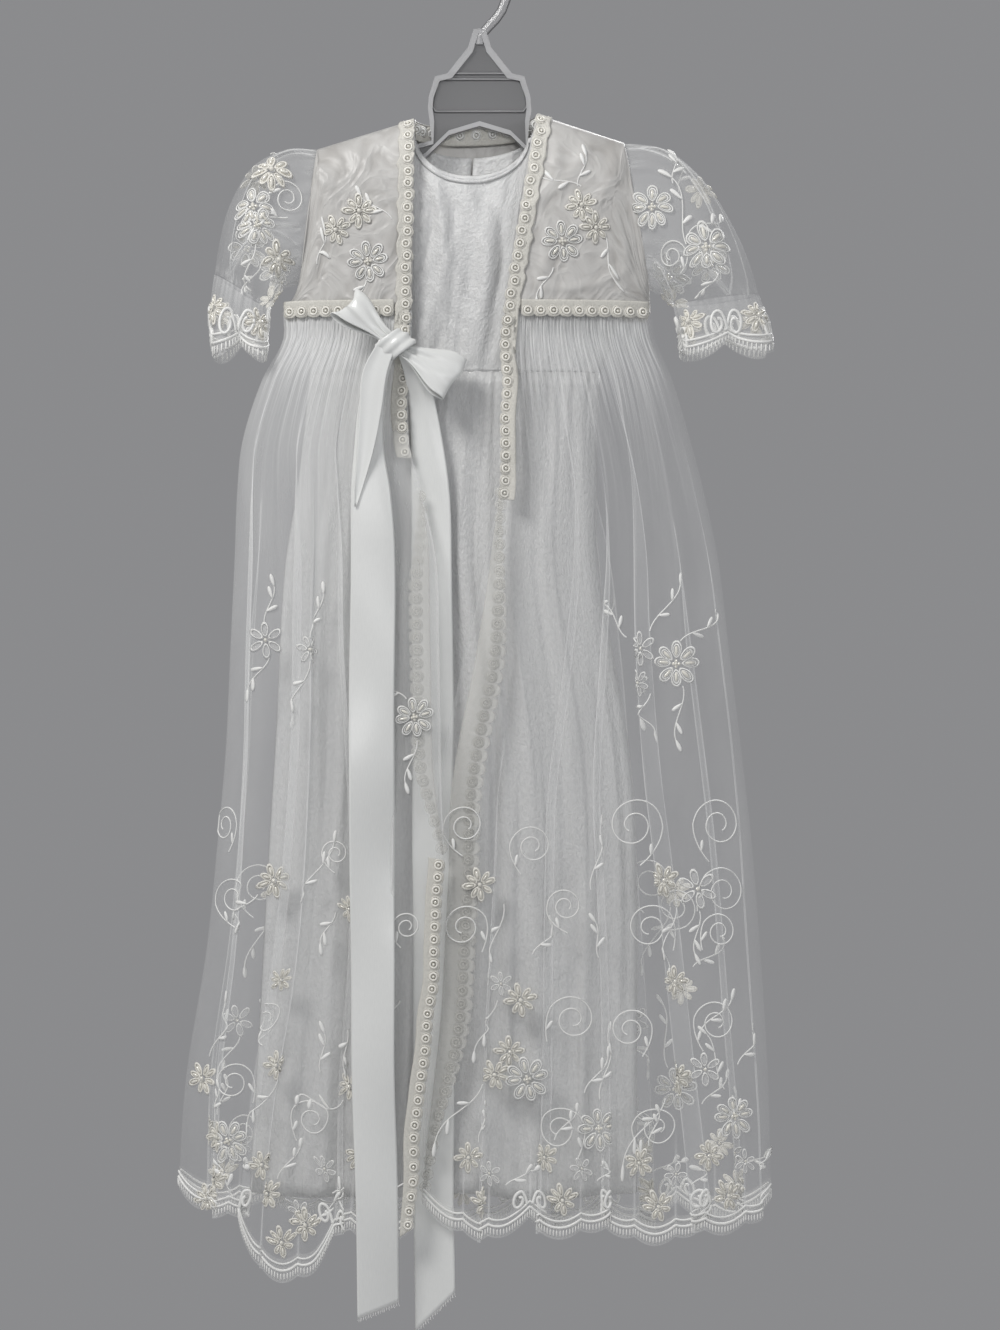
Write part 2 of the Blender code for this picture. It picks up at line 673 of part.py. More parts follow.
def curve_to_mesh(source, name, collection):
    """The mesh of a curve object, with its caps welded, in place of the curve."""
    bpy.context.scene.collection.objects.link(source)
    bpy.context.view_layer.update()
    evaluated = source.evaluated_get(bpy.context.evaluated_depsgraph_get())
    mesh = bpy.data.meshes.new_from_object(evaluated)
    weld = bmesh.new()
    weld.from_mesh(mesh)
    bmesh.ops.remove_doubles(weld, verts=weld.verts, dist=0.00001)
    bmesh.ops.recalc_face_normals(weld, faces=weld.faces)
    weld.to_mesh(mesh)
    weld.free()
    obj = bpy.data.objects.new(name, mesh)
    obj.matrix_world = source.matrix_world.copy()
    collection.objects.link(obj)
    bpy.data.objects.remove(source)
    return obj


def hook_curve():
    """The hook: three quarters of a circle that opens to the left, and a bent neck below it."""
    inner = HOOK_RADIUS - HOOK_TUBE
    points = []
    for step in range(17):
        turn = math.radians(205 - 15 * step)
        points.append((HOOK_RADIUS * math.cos(turn), -inner + HOOK_RADIUS * math.sin(turn)))
    points += HOOK_NECK
    curve = bpy.data.curves.new("hook", "CURVE")
    curve.dimensions = "3D"
    curve.bevel_depth = HOOK_TUBE
    curve.bevel_resolution = 2
    curve.use_fill_caps = True
    spline = curve.splines.new("POLY")
    spline.points.add(len(points) - 1)
    for point, (x, z) in zip(spline.points, points):
        point.co = (x, 0.0, z, 1.0)
    return bpy.data.objects.new("hook_curve", curve)


def join(target, other, cutters):
    """Union of two meshes; the second one stays as a hidden cutter."""
    union = target.modifiers.new("Union", "BOOLEAN")
    union.operation = "UNION"
    union.solver = "EXACT"
    union.object = other
    for owner in list(other.users_collection):
        owner.objects.unlink(other)
    cutters.objects.link(other)
    other.hide_render = True
    other.display_type = "WIRE"


def build_hanger(collection, cutters):
    """Moulded hanger: a thin web, a raised rim round it and a round hook, all one piece."""
    outer = hanger_outline(0.0)
    inner = hanger_outline(HANGER_RIM)
    body = flat_outline("hanger", [outer, inner], HANGER_THICK, collection)
    web = flat_outline("hanger_web", [hanger_outline(HANGER_RIM / 2)], HANGER_WEB, collection)
    hook = curve_to_mesh(hook_curve(), "hanger_hook", collection)
    join(body, web, cutters)
    join(body, hook, cutters)
    keep(body, "plastic", collection)


# ---------------------------------------------------------------- the dress
def build_dress(collection):
    """Sleeveless satin dress: front and back bodice, bound neck, gathered skirt, back buttons."""

    def hem(u):
        return DRESS_HEM_Z

    top_z = DRESS_WAIST_Z - SEAM_GAP / 2
    front_skirt = full_width(DRESS, "front", -1.0, top_z, hem, DRESS_FRONT_FOLDS)
    back_skirt = full_width(DRESS, "back", 1.0, top_z, hem, DRESS_BACK_FOLDS)
    across = even(DRESS_FRONT_COLUMNS)
    cloth("dress_front_skirt", front_skirt, across, DRESS_ROWS, SATIN, "satin", collection)
    across = even(DRESS_BACK_COLUMNS)
    cloth("dress_back_skirt", back_skirt, across, DRESS_ROWS, SATIN, "satin", collection)

    def front_waist(u):
        return front_skirt(u, 0.0) + Vector((0.0, 0.0, SEAM_GAP))

    def back_waist(u):
        return back_skirt(u, 0.0) + Vector((0.0, 0.0, SEAM_GAP))

    front_drop = DRESS_FRONT_NECK_DROP
    back_drop = DRESS_BACK_NECK_DROP
    front_top = full_top(
        DRESS_LEFT, DRESS_RIGHT, DRESS_ARMHOLE, front_drop, DRESS_FRONT_NECK_DEPTH, -1.0
    )
    back_top = full_top(DRESS_LEFT, DRESS_RIGHT, DRESS_ARMHOLE, back_drop, DRESS_BACK_NECK_DEPTH, 1.0)
    front = bodice(front_top, front_waist, -1.0, DRESS_DEPTH)
    back = bodice(back_top, back_waist, 1.0, DRESS_DEPTH)
    whole = mirrored(DRESS_BODY_HALF)
    cloth("dress_front_bodice", front, whole, DRESS_BODY_ROWS, SATIN, "satin", collection)

    left_half = DRESS_BODY_HALF[:-1] + [0.5 - BACK_SLIT]
    right_half = [1.0 - u for u in reversed(left_half)]
    cloth("dress_back_bodice_left", back, left_half, DRESS_BODY_ROWS, SATIN, "satin", collection)
    cloth("dress_back_bodice_right", back, right_half, DRESS_BODY_ROWS, SATIN, "satin", collection)
    build_neck_binding(front, back, collection)
    build_buttons(back, collection)


def build_neck_binding(front, back, collection):
    """Bias binding round the dress's neck, open at the centre back like the bodice under it."""
    lift = SATIN / 2 + BINDING_LIFT + BINDING_WALL / 2
    half = [u for u in DRESS_BODY_HALF if u > NECK_U]
    left_half = half[:-1] + [0.5 - BINDING_SLIT]
    right_half = [1.0 - u for u in reversed(left_half)]
    for name, panel, places in (
        ("dress_neck_binding_front", front, mirrored(half)),
        ("dress_neck_binding_back_left", back, left_half),
        ("dress_neck_binding_back_right", back, right_half),
    ):
        strip = lifted(panel, lift)
        cloth(name, strip, places, BINDING_ROWS, BINDING_WALL, "satin", collection)


def build_buttons(back, collection):
    """Three flat round buttons down the centre back, which close the dress."""
    for number, v in enumerate(BUTTON_PLACES, start=1):
        seat = back(0.5, v)
        bpy.ops.mesh.primitive_cylinder_add(
            vertices=14,
            radius=BUTTON_RADIUS,
            depth=BUTTON_THICK,
            location=(seat.x, seat.y + SATIN / 2 + CLEAR + BUTTON_THICK / 2, seat.z),
            rotation=(math.radians(90), 0.0, 0.0),
        )
        button = bpy.context.object
        button.name = "dress_button_" + str(number)
        keep(button, "satin", collection)


# ---------------------------------------------------------------- the robe
def build_robe(collection):
    """Open organza robe: bodice, skirt, sleeves and the lace on them."""
    left = robe_front("left", ROBE_LEFT_HEM, ROBE_LEFT_FOLDS)
    right = robe_front("right", ROBE_RIGHT_HEM, ROBE_RIGHT_FOLDS)

    def back_hem(u):
        return read(ROBE_BACK_HEM, "z", u, "u")

    back = full_width(ROBE, "back", 1.0, ROBE_WAIST_Z - SEAM_GAP / 2, back_hem, ROBE_BACK_FOLDS)
    front_columns = even(FRONT_COLUMNS, 0.0, BAND) + [0.95, 1.0]
    back_columns = even(BACK_COLUMNS)
    cloth("robe_front_skirt_left", left, front_columns, SKIRT_ROWS, ORGANZA, "organza", collection)
    cloth("robe_front_skirt_right", right, front_columns, SKIRT_ROWS, ORGANZA, "organza", collection)
    cloth("robe_back_skirt", back, back_columns, SKIRT_ROWS, ORGANZA, "organza", collection)

    border = [0.0, 0.4, 1.0]
    for name, panel, scallops in (
        ("robe_hem_lace_left", left, 4),
        ("robe_hem_lace_right", right, 5),
        ("robe_hem_lace_back", back, 9),
    ):
        columns = even(4 * scallops + 1)
        cloth(name, below(panel, scalloped(panel, scallops)), columns, border, LACE, "lace", collection)

    raised = Vector((0.0, 0.0, SEAM_GAP))
    left_body = bodice(
        lambda u: robe_front_top(ROBE_LEFT, u), lambda u: left(u, 0.0) + raised, -1.0, ROBE_DEPTH
    )
    right_body = bodice(
        lambda u: robe_front_top(ROBE_RIGHT, u), lambda u: right(u, 0.0) + raised, -1.0, ROBE_DEPTH
    )
    back_top = full_top(ROBE_LEFT, ROBE_RIGHT, ROBE_ARMHOLE, ROBE_NECK_DROP, ROBE_NECK_DEPTH, 1.0)
    back_body = bodice(back_top, lambda u: back(u, 0.0) + raised, 1.0, ROBE_DEPTH)
    for name, body, columns in (
        ("robe_front_bodice_left", left_body, ROBE_FRONT_BODY),
        ("robe_front_bodice_right", right_body, ROBE_FRONT_BODY),
        ("robe_back_bodice", back_body, mirrored(ROBE_BODY_HALF)),
    ):
        cloth(name, body, columns, ROBE_BODY_ROWS, ORGANZA, "organza", collection)

    build_sleeves(collection)
    build_front_trims(left, right, left_body, right_body, collection)
    build_neck_and_waist_trims(left, right, back, back_body, collection)
    for side, turned in (("left", LEFT_TURNED), ("right", RIGHT_TURNED)):
        strip = turned_edge(side, turned)
        cloth("robe_turned_edge_" + side, strip, even(4), even(9), TURNED_WALL, "organza", collection)


def build_sleeves(collection):
    """Two puffed organza sleeves, each gathered into a scalloped lace cuff."""
    for side, rings, ends in (("left", LEFT_SLEEVE, LEFT_CUFF), ("right", RIGHT_SLEEVE, RIGHT_CUFF)):
        around = even(15)
        cloth("robe_sleeve_" + side, sleeve(rings), around, even(7), ORGANZA, "organza", collection, True)
        scallops = even(4 * CUFF_SCALLOPS + 1)
        cloth("robe_cuff_lace_" + side, cuff(ends), scallops, even(3), LACE, "lace", collection, True)


def front_trim(body, skirt, end_v):
    """Surface and rows of the trim on a front edge, over the bodice first and the skirt after it."""
    lift = ORGANZA / 2 + CLEAR + LACE / 2
    on_body = lifted(body, lift)
    on_skirt = lifted(skirt, lift)

    def surface(u, v):
        return on_body(u, v) if v <= 1.0 else on_skirt(u, v - 1.0)

    rows = [v for v in ROBE_BODY_ROWS if 0.0 < v < 1.0]
    rows += [1.0 + v for v in SKIRT_ROWS if 0.0 < v < end_v]
    return surface, rows + [1.0 + end_v]


def build_front_trims(left, right, left_body, right_body, collection):
    """Ring-lace trims down both front edges."""
    across = [u for u in ROBE_FRONT_BODY if u >= BAND]
    for name, body, skirt, end_v in (
        ("trim_front_left", left_body, left, LEFT_TRIM_END),
        ("trim_front_right", right_body, right, RIGHT_TRIM_END),
    ):
        surface, rows = front_trim(body, skirt, end_v)
        cloth(name, surface, across, rows, LACE, "lace", collection)
    on_left = lifted(left, ORGANZA / 2 + CLEAR + LACE / 2)

    def low(u, v):
        """The trim runs on below the panel's lower edge, to the foot of the lace border."""
        past_edge = max(v - 1.0, 0.0)
        return on_left(u, min(v, 1.0)) - Vector((0.0, 0.0, past_edge * BELOW_HEM))

    cloth("trim_front_left_low", low, across, LOW_TRIM_ROWS, LACE, "lace", collection)


def build_neck_and_waist_trims(left, right, back, back_body, collection):
    """Ring-lace trims round the back of the neck and round the waist."""
    lift = ORGANZA / 2 + CLEAR + LACE / 2
    on_back = lifted(back_body, lift + EASE)
    cloth("trim_neck_back", on_back, NECK_TRIM_COLUMNS, NECK_TRIM_ROWS, LACE, "lace", collection)

    # The waist trim lies over the seam, and stops just short of the trims down the front.
    front_columns = even(FRONT_COLUMNS, 0.0, BAND)[:-1] + [BAND - WAIST_STOP]
    for name, skirt, columns in (
        ("trim_waist_left", left, front_columns),
        ("trim_waist_right", right, front_columns),
        ("trim_waist_back", back, even(BACK_COLUMNS)),
    ):
        def belt(u, v, skirt=skirt):
            point = skirt(u, 0.0)
            out = normal(skirt, u, 0.0)
            if out.y * point.y < 0.0:
                out.negate()
            out.z = 0.0
            moved = point + out.normalized() * (lift + 2.0 * EASE)
            moved.z = ROBE_WAIST_Z + WAIST_BAND - 2.0 * WAIST_BAND * v
            return moved

        cloth(name, belt, columns, [0.0, 1.0], LACE, "lace", collection)


# ---------------------------------------------------------------- the ribbon
def build_ribbon(collection):
    """Ribbon bow at the left front: knot, two loops and two long ends."""
    bpy.ops.mesh.primitive_cube_add(size=1.0, location=KNOT)
    knot = bpy.context.object
    knot.name = "ribbon_knot"
    knot.data.transform(Matrix.Diagonal((*KNOT_SIZE, 1.0)))
    soft = knot.modifiers.new("Subdivision", "SUBSURF")
    soft.levels = 2
    soft.render_levels = 2
    keep(knot, "ribbon", collection)
    for name, loop in (("ribbon_loop_left", LEFT_LOOP), ("ribbon_loop_right", RIGHT_LOOP)):
        turns = even(13, 0.005, 0.995)
        cloth(name, ribbon_loop(loop), even(4), turns, RIBBON, "ribbon", collection)
    for name, strips, slant, rows in (
        ("ribbon_tail_left", LEFT_TAIL, LEFT_SLANT, even(19)),
        ("ribbon_tail_right", RIGHT_TAIL, RIGHT_SLANT, even(17)),
    ):
        cloth(name, hanging(strips, slant), even(3), rows, RIBBON, "ribbon", collection)


def main():
    for old in list(bpy.data.objects):
        bpy.data.objects.remove(old)
    gown = bpy.data.collections.new("christening_gown")
    cutters = bpy.data.collections.new("cutters")
    bpy.context.scene.collection.children.link(gown)
    bpy.context.scene.collection.children.link(cutters)
    build_hanger(gown, cutters)
    build_dress(gown)
    build_robe(gown)
    build_ribbon(gown)


main()
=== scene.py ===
# %% [markdown]
# # A christening gown on its hanger
# The real thing is two garments worn together and a hanger.  A sleeveless satin dress hangs inside an
# open robe of sheer organza, which has puffed sleeves, lace trims, beaded flowers and a scalloped hem.
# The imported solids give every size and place.  Each cell below makes one kind of piece around them.

# %% Load the solids and keep their box
import math
from collections import namedtuple

import bpy
import numpy as np
from mathutils import Matrix, Vector


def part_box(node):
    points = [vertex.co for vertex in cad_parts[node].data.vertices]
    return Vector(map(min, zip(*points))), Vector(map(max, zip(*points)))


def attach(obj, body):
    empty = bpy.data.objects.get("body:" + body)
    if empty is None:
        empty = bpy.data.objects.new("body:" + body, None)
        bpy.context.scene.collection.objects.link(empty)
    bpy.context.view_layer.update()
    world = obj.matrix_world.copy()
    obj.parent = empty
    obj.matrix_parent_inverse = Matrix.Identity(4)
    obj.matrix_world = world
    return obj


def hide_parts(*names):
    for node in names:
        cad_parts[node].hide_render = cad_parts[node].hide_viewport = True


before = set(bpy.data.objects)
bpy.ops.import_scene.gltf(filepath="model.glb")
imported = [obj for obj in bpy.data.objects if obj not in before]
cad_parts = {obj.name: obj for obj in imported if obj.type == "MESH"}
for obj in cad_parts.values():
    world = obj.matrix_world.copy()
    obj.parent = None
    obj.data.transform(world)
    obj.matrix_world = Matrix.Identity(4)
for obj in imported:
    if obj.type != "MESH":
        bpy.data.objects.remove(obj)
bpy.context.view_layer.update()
bpy.ops.object.select_all(action="DESELECT")

# %% [markdown]
# ## Light, ground and camera
# The gown is looked at from straight ahead, so its left and right edges read as a pattern cutter's
# drawing would show them.  Sheer cloth is only seen against something darker than itself, so the
# surroundings are a plain mid grey, with a pale floor well below the hem.  A broad soft lamp from the
# upper left gives the folds a light side and a dark side, and weaker ones fill the shadows.  One behind
# the gown shines through its cloth, and a narrow one lights the trim inside the neck.

# %% Surroundings and floor
SURROUNDINGS = (0.258, 0.259, 0.267, 1.0)
FLOOR_COLOUR = (0.62, 0.62, 0.62, 1.0)
FLOOR_Z = -1.45           # metres below the hook
scene = bpy.context.scene
scene.view_settings.view_transform = "Standard"
world = bpy.data.worlds.new("plain_grey")
world.use_nodes = True
world.node_tree.nodes["Background"].inputs["Color"].default_value = SURROUNDINGS
world.node_tree.nodes["Background"].inputs["Strength"].default_value = 1.0
scene.world = world

bpy.ops.mesh.primitive_plane_add(size=3.0, location=(0.0, 0.0, FLOOR_Z))
floor = bpy.context.object
floor.name = "floor"
floor_paint = bpy.data.materials.new("floor_paint")
floor_paint.use_nodes = True
floor_paint.node_tree.nodes["Principled BSDF"].inputs["Base Color"].default_value = FLOOR_COLOUR
floor_paint.node_tree.nodes["Principled BSDF"].inputs["Roughness"].default_value = 0.9
floor.data.materials.append(floor_paint)
print("floor at", FLOOR_Z, "m")

# %% Lamps
GOWN_MIDDLE = (0.0, 0.0, -0.45)
NECK_TRIM = (-0.0035, 0.0, -0.102)
PLAIN = (1.0, 1.0, 1.0)


def hang_lamp(lamp, place, aim):
    """Put a lamp at a place and point it at another."""
    holder = bpy.data.objects.new(lamp.name, lamp)
    holder.location = place
    holder.rotation_euler = (Vector(aim) - Vector(place)).to_track_quat("-Z", "Y").to_euler()
    bpy.context.collection.objects.link(holder)
    print("lamp", lamp.name, lamp.energy, "W")


def soft_lamp(name, place, size, watts, tint=PLAIN):
    """A square soft lamp that points at the middle of the gown."""
    lamp = bpy.data.lights.new(name, "AREA")
    lamp.size = size
    lamp.energy = watts
    lamp.color = tint
    hang_lamp(lamp, place, GOWN_MIDDLE)


soft_lamp("key", (-1.0, -1.15, 0.95), 0.6, 23.0, (1.0, 0.99, 0.97))
soft_lamp("fill", (1.6, -1.9, 0.1), 1.4, 6.0, (0.96, 0.98, 1.0))
soft_lamp("front", (0.1, -2.2, 0.1), 0.8, 4.0)
soft_lamp("behind", (0.8, 1.9, 0.7), 1.2, 24.0)
neck_lamp = bpy.data.lights.new("neck", "SPOT")
neck_lamp.energy = 8.0
neck_lamp.spot_size = math.radians(10)
neck_lamp.spot_blend = 1.0
neck_lamp.shadow_soft_size = 0.05
hang_lamp(neck_lamp, (0.05, -0.9, -0.06), NECK_TRIM)

# %% Camera
VIEW_HEIGHT = 0.8645      # metres from the top to the bottom of the view, at the gown
CAMERA_AWAY = 2.0
SENSOR = 36.0             # the camera's own width, in its lens's millimetres
view_middle = Vector((0.00975, 0.0, -0.457))
lens = bpy.data.cameras.new("camera")
lens.sensor_fit = "AUTO"
lens.lens = SENSOR * CAMERA_AWAY / VIEW_HEIGHT
camera = bpy.data.objects.new("camera", lens)
camera.location = view_middle + Vector((0.0, -CAMERA_AWAY, 0.0))
camera.rotation_euler = (math.radians(90), 0.0, 0.0)
bpy.context.collection.objects.link(camera)
scene.camera = camera
print("camera", round(lens.lens, 1), "mm lens,", CAMERA_AWAY, "m away")

# %% [markdown]
# ## Finishes
# The gown is sheer organza, bright satin, cooler ribbon satin, cotton lace, embroidery thread and pearl,
# and the hanger is frosted plastic.  A weave could be modelled thread by thread, but at this size it is
# only a grain in the shine and the sheerness, so noise draws it.  On cloth the noise reads the piece's
# own UV map, which is laid out in metres, so the threads follow every fold and keep their real scale.

# %% A helper for finishes


def finish(name, colour, roughness, **sockets):
    """A new Principled finish, with its nodes and links to hand."""
    material = bpy.data.materials.new(name)
    material.use_nodes = True
    shader = material.node_tree.nodes["Principled BSDF"]
    shader.inputs["Base Color"].default_value = (*colour, 1.0)
    shader.inputs["Roughness"].default_value = roughness
    for socket, value in sockets.items():
        shader.inputs[socket.replace("_", " ")].default_value = value
    return material, material.node_tree, shader


def add_node(tree, kind, **settings):
    """A node whose inputs are set by name."""
    node = tree.nodes.new(kind)
    for key, value in settings.items():
        node.inputs[key.replace("_", " ")].default_value = value
    return node


def stretched(tree, across, down):
    """The piece's own UV map, with different thread counts across and down."""
    uv = add_node(tree, "ShaderNodeUVMap")
    mapping = add_node(tree, "ShaderNodeMapping", Scale=(across, down, 1.0))
    tree.links.new(uv.outputs["UV"], mapping.inputs["Vector"])
    return mapping.outputs["Vector"]


def two_tone(tree, factor, dark, light):
    """A colour that runs between two others."""
    mix = tree.nodes.new("ShaderNodeMix")
    mix.data_type = "RGBA"
    mix.inputs["A"].default_value = (*dark, 1.0)
    mix.inputs["B"].default_value = (*light, 1.0)
    tree.links.new(factor, mix.inputs["Factor"])
    return mix.outputs["Result"]


def noise(tree, vector, **settings):
    """A noise pattern read at a vector."""
    node = add_node(tree, "ShaderNodeTexNoise", **settings)
    tree.links.new(vector, node.inputs["Vector"])
    return node.outputs["Fac"]


def reckoned(tree, operation, first, number=None, last=None):
    """The result of a Math node: first and number, then last where the operation takes a third."""
    node = tree.nodes.new("ShaderNodeMath")
    node.operation = operation
    tree.links.new(first, node.inputs[0])
    if number is not None:
        node.inputs[1].default_value = number
    if last is not None:
        tree.links.new(last, node.inputs[2])
    return node.outputs["Value"]


def ranged(tree, value, low, high, to_low=0.0, to_high=1.0):
    """A value moved from one range to another, and kept inside it."""
    node = add_node(tree, "ShaderNodeMapRange", From_Min=low, From_Max=high, To_Min=to_low, To_Max=to_high)
    tree.links.new(value, node.inputs["Value"])
    return node.outputs["Result"]


def coloured(tree, shader, factor, dark, light):
    """Base colour that runs between two others."""
    tree.links.new(two_tone(tree, factor, dark, light), shader.inputs["Base Color"])


def bumped(tree, shader, height, strength, distance):
    """Bump from a height."""
    bump = add_node(tree, "ShaderNodeBump", Strength=strength, Distance=distance)
    tree.links.new(height, bump.inputs["Height"])
    tree.links.new(bump.outputs["Normal"], shader.inputs["Normal"])


# %% Organza: sheer, with a fine uneven weave, and denser where the cloth is sharply creased
THIN_SPOT, THICK_SPOT = 0.035, 0.095   # how opaque the flat cloth is
CREASE_ADDS = 0.45                     # how much more opaque it is along a sharp crease
organza, tree, shader = finish("organza", (0.90, 0.91, 0.915), 0.5, Sheen_Weight=0.2)
threads = noise(tree, stretched(tree, 1500.0, 90.0), Scale=1.0, Detail=3.0, Roughness=0.6)
cloud = noise(tree, stretched(tree, 55.0, 12.0), Scale=1.0, Detail=2.0)
weave = reckoned(tree, "MULTIPLY_ADD", threads, 0.45, cloud)
sheer = ranged(tree, weave, 0.45, 1.0, THIN_SPOT, THICK_SPOT)
crease_mark = tree.nodes.new("ShaderNodeAttribute")
crease_mark.attribute_name = "crease"
doubled = reckoned(tree, "MULTIPLY_ADD", crease_mark.outputs["Fac"], CREASE_ADDS, sheer)
tree.links.new(doubled, shader.inputs["Alpha"])
coloured(tree, shader, weave, (0.84, 0.85, 0.86), (0.96, 0.965, 0.96))

# %% Satin: smooth and bright, with a crushed grain, and painted glints where the light catches its floats
SHINE = {"Anisotropic": 0.4, "Specular_IOR_Level": 0.8}
satin, tree, shader = finish("satin", (0.80, 0.805, 0.81), 0.25, Sheen_Weight=0.05, **SHINE)
grain_and_glints = noise(tree, stretched(tree, 520.0, 260.0), Scale=1.0, Detail=4.0, Roughness=0.7)
crush = noise(tree, stretched(tree, 62.0, 5.0), Scale=1.0, Detail=1.0, Distortion=0.25)
# painted glints: the base colour runs from a darker to a lighter white with the grain, for light caught by
# the floats
coloured(tree, shader, grain_and_glints, (0.56, 0.565, 0.57), (0.84, 0.84, 0.835))
bumped(tree, shader, reckoned(tree, "MULTIPLY_ADD", grain_and_glints, 0.16, crush), 0.75, 0.0095)

# %% Ribbon: closer woven and cooler than the dress
ribbon, tree, shader = finish("ribbon_satin", (0.84, 0.855, 0.845), 0.25, Sheen_Weight=0.10, **SHINE)
grain_and_glints = noise(tree, stretched(tree, 1800.0, 160.0), Scale=1.0, Detail=3.0)
# painted glints here too: the colour runs a little darker and lighter along the grain, for the sheen of the
# ribbon's floats
coloured(tree, shader, grain_and_glints, (0.79, 0.80, 0.79), (0.88, 0.89, 0.875))
bumped(tree, shader, grain_and_glints, 0.12, 0.0002)


# %% Thread, lace and pearl: small things, whose grain is read in the object's own metres
def stitched(name, dark, light, roughness, scale, strength, **sockets):
    """Thread finish: short strands seen as fine streaks of light and dark."""
    material, tree, shader = finish(name, light, roughness, **sockets)
    place = tree.nodes.new("ShaderNodeTexCoord").outputs["Object"]
    strands = noise(tree, place, Scale=scale, Detail=3.0, Roughness=0.7)
    coloured(tree, shader, strands, dark, light)
    bumped(tree, shader, strands, strength, 0.0005)
    return material


white_thread = stitched("white_thread", (0.90, 0.90, 0.88), (1.0, 1.0, 0.985), 0.38, 1500.0, 0.35)
cream_thread = stitched("cream_thread", (0.88, 0.855, 0.79), (0.99, 0.975, 0.92), 0.42, 1500.0, 0.35)
lace_cotton = stitched("lace_cotton", (0.74, 0.72, 0.665), (0.97, 0.955, 0.90), 0.75, 1100.0, 0.7)
# the trims' ground is darker than the thread of their rings: painted shade in the hollows in and between the
# rings
shaded_lace_ground = stitched("shaded_lace_ground", (0.52, 0.505, 0.46), (0.88, 0.865, 0.81), 0.80, 900.0, 0.9)
pearl = stitched("pearl", (0.78, 0.76, 0.69), (0.96, 0.94, 0.87), 0.12, 60.0, 0.0, Coat_Weight=0.9)
veil = stitched("white_net", (0.80, 0.80, 0.79), (0.95, 0.95, 0.94), 0.60, 1800.0, 0.3, Alpha=0.20)
faint_lace = stitched("faint_lace", (0.82, 0.81, 0.76), (0.98, 0.97, 0.92), 0.70, 1100.0, 0.5, Alpha=0.28)
FINISHES = [white_thread, cream_thread, lace_cotton, pearl, veil, faint_lace]
WHITE, CREAM, LACE, PEARL, NET, FAINT = range(6)

# %% Hanger plastic: frosted, with a faint mottling from the mould and a paler, thicker rim
WEB_FACE, RIM_FACE = 0.0012, 0.0026    # how far the thin web and the rim stand from the middle
plastic, tree, shader = finish("hanger_plastic", (0.30, 0.30, 0.31), 0.45, Alpha=0.72, Coat_Weight=0.2)
place = tree.nodes.new("ShaderNodeTexCoord").outputs["Object"]
parts = tree.nodes.new("ShaderNodeSeparateXYZ")
tree.links.new(place, parts.inputs["Vector"])
rim = ranged(tree, reckoned(tree, "ABSOLUTE", parts.outputs["Y"]), WEB_FACE, RIM_FACE)
coloured(tree, shader, rim, (0.13, 0.13, 0.135), (0.46, 0.46, 0.47))
bumped(tree, shader, noise(tree, place, Scale=900.0, Detail=3.0), 0.3, 0.0002)
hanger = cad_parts["hanger"]
hanger.data.materials.clear()
hanger.data.materials.append(plastic)
print("finishes:", len(bpy.data.materials))

# %% [markdown]
# ## How a panel of cloth is described
# A pattern piece is a flat shape, so each panel here is a function of two shares: u runs across it and
# v runs down it.  The function says where that spot of cloth hangs.  Sizes come from short tables of
# sections, the same that the solids were made from.  A panel then gets three kinds of fold: pleats, in
# which the cloth doubles back over itself and a sheer cloth looks brighter, soft ridges, and creases
# placed one by one.

# %% Small tools for tables and curves
Tube = namedtuple("Tube", "z left right front back")
Opening = namedtuple("Opening", "z left right")
Hem = namedtuple("Hem", "u z")
Pleat = namedtuple("Pleat", "top hem lap tight deep start")
Ridge = namedtuple("Ridge", "top hem width depth")
Crease = namedtuple("Crease", "x z turn long wide deep")
Shoulder = namedtuple("Shoulder", "neck_x neck_z tip_x tip_z arm_x arm_z")
Ring = namedtuple("Ring", "outer_x outer_z inner_x inner_z depth")
TURN = 2.0 * np.pi
SEAM = 0.0005             # half the space between two panels at a seam
MID_X = -0.012            # middle of the gown between its side seams


def lerp(a, b, share):
    return a + (b - a) * share


def smooth(share):
    share = np.clip(share, 0.0, 1.0)
    return share * share * (3.0 - 2.0 * share)


def read(rows, column, at, key="z"):
    """A table's column at any place of its key, on a smooth curve through the rows."""
    keys = np.array([getattr(row, key) for row in rows])
    values = np.array([getattr(row, column) for row in rows])
    if keys[0] > keys[-1]:
        keys, values = keys[::-1], values[::-1]
    slopes = np.empty_like(values)
    slopes[1:-1] = (values[2:] - values[:-2]) / (keys[2:] - keys[:-2])
    slopes[0] = (values[1] - values[0]) / (keys[1] - keys[0])
    slopes[-1] = (values[-1] - values[-2]) / (keys[-1] - keys[-2])
    at = np.clip(at, keys[0], keys[-1])
    i = np.clip(np.searchsorted(keys, at, side="right") - 1, 0, len(keys) - 2)
    step = keys[i + 1] - keys[i]
    t = (at - keys[i]) / step
    return (
        (2 * t**3 - 3 * t**2 + 1) * values[i]
        + (t**3 - 2 * t**2 + t) * step * slopes[i]
        + (-2 * t**3 + 3 * t**2) * values[i + 1]
        + (t**3 - t**2) * step * slopes[i + 1]
    )


def uneven(at, wave, seed):
    """A wandering wave between about -1 and 1: three plain waves that never quite line up."""
    return (
        np.sin(TURN * at / wave + seed)
        + 0.6 * np.sin(TURN * at / (wave * 0.618) + 2.1 * seed)
        + 0.4 * np.sin(TURN * at / (wave * 1.73) + 3.7 * seed)
    ) / 1.6


# %% Folds: pleats, ridges and creases
def pleated(u, v, pleats):
    """Where pleats move the cloth across the panel, and how deep they put it (metres)."""
    across = u.copy()
    deep = np.zeros_like(u)
    for number, pleat in enumerate(pleats):
        middle = lerp(pleat.top, pleat.hem, v * v) + 0.006 * uneven(v, 0.8, number)
        grown = smooth((v - pleat.start) / 0.30)
        place = (u - middle) / abs(pleat.tight)
        across -= pleat.lap * grown * (np.tanh(place) - (2.0 * u - 1.0))
        deep += pleat.deep * grown * np.sign(pleat.tight) * place * np.exp(-place * place / 6.0)
    return across, deep


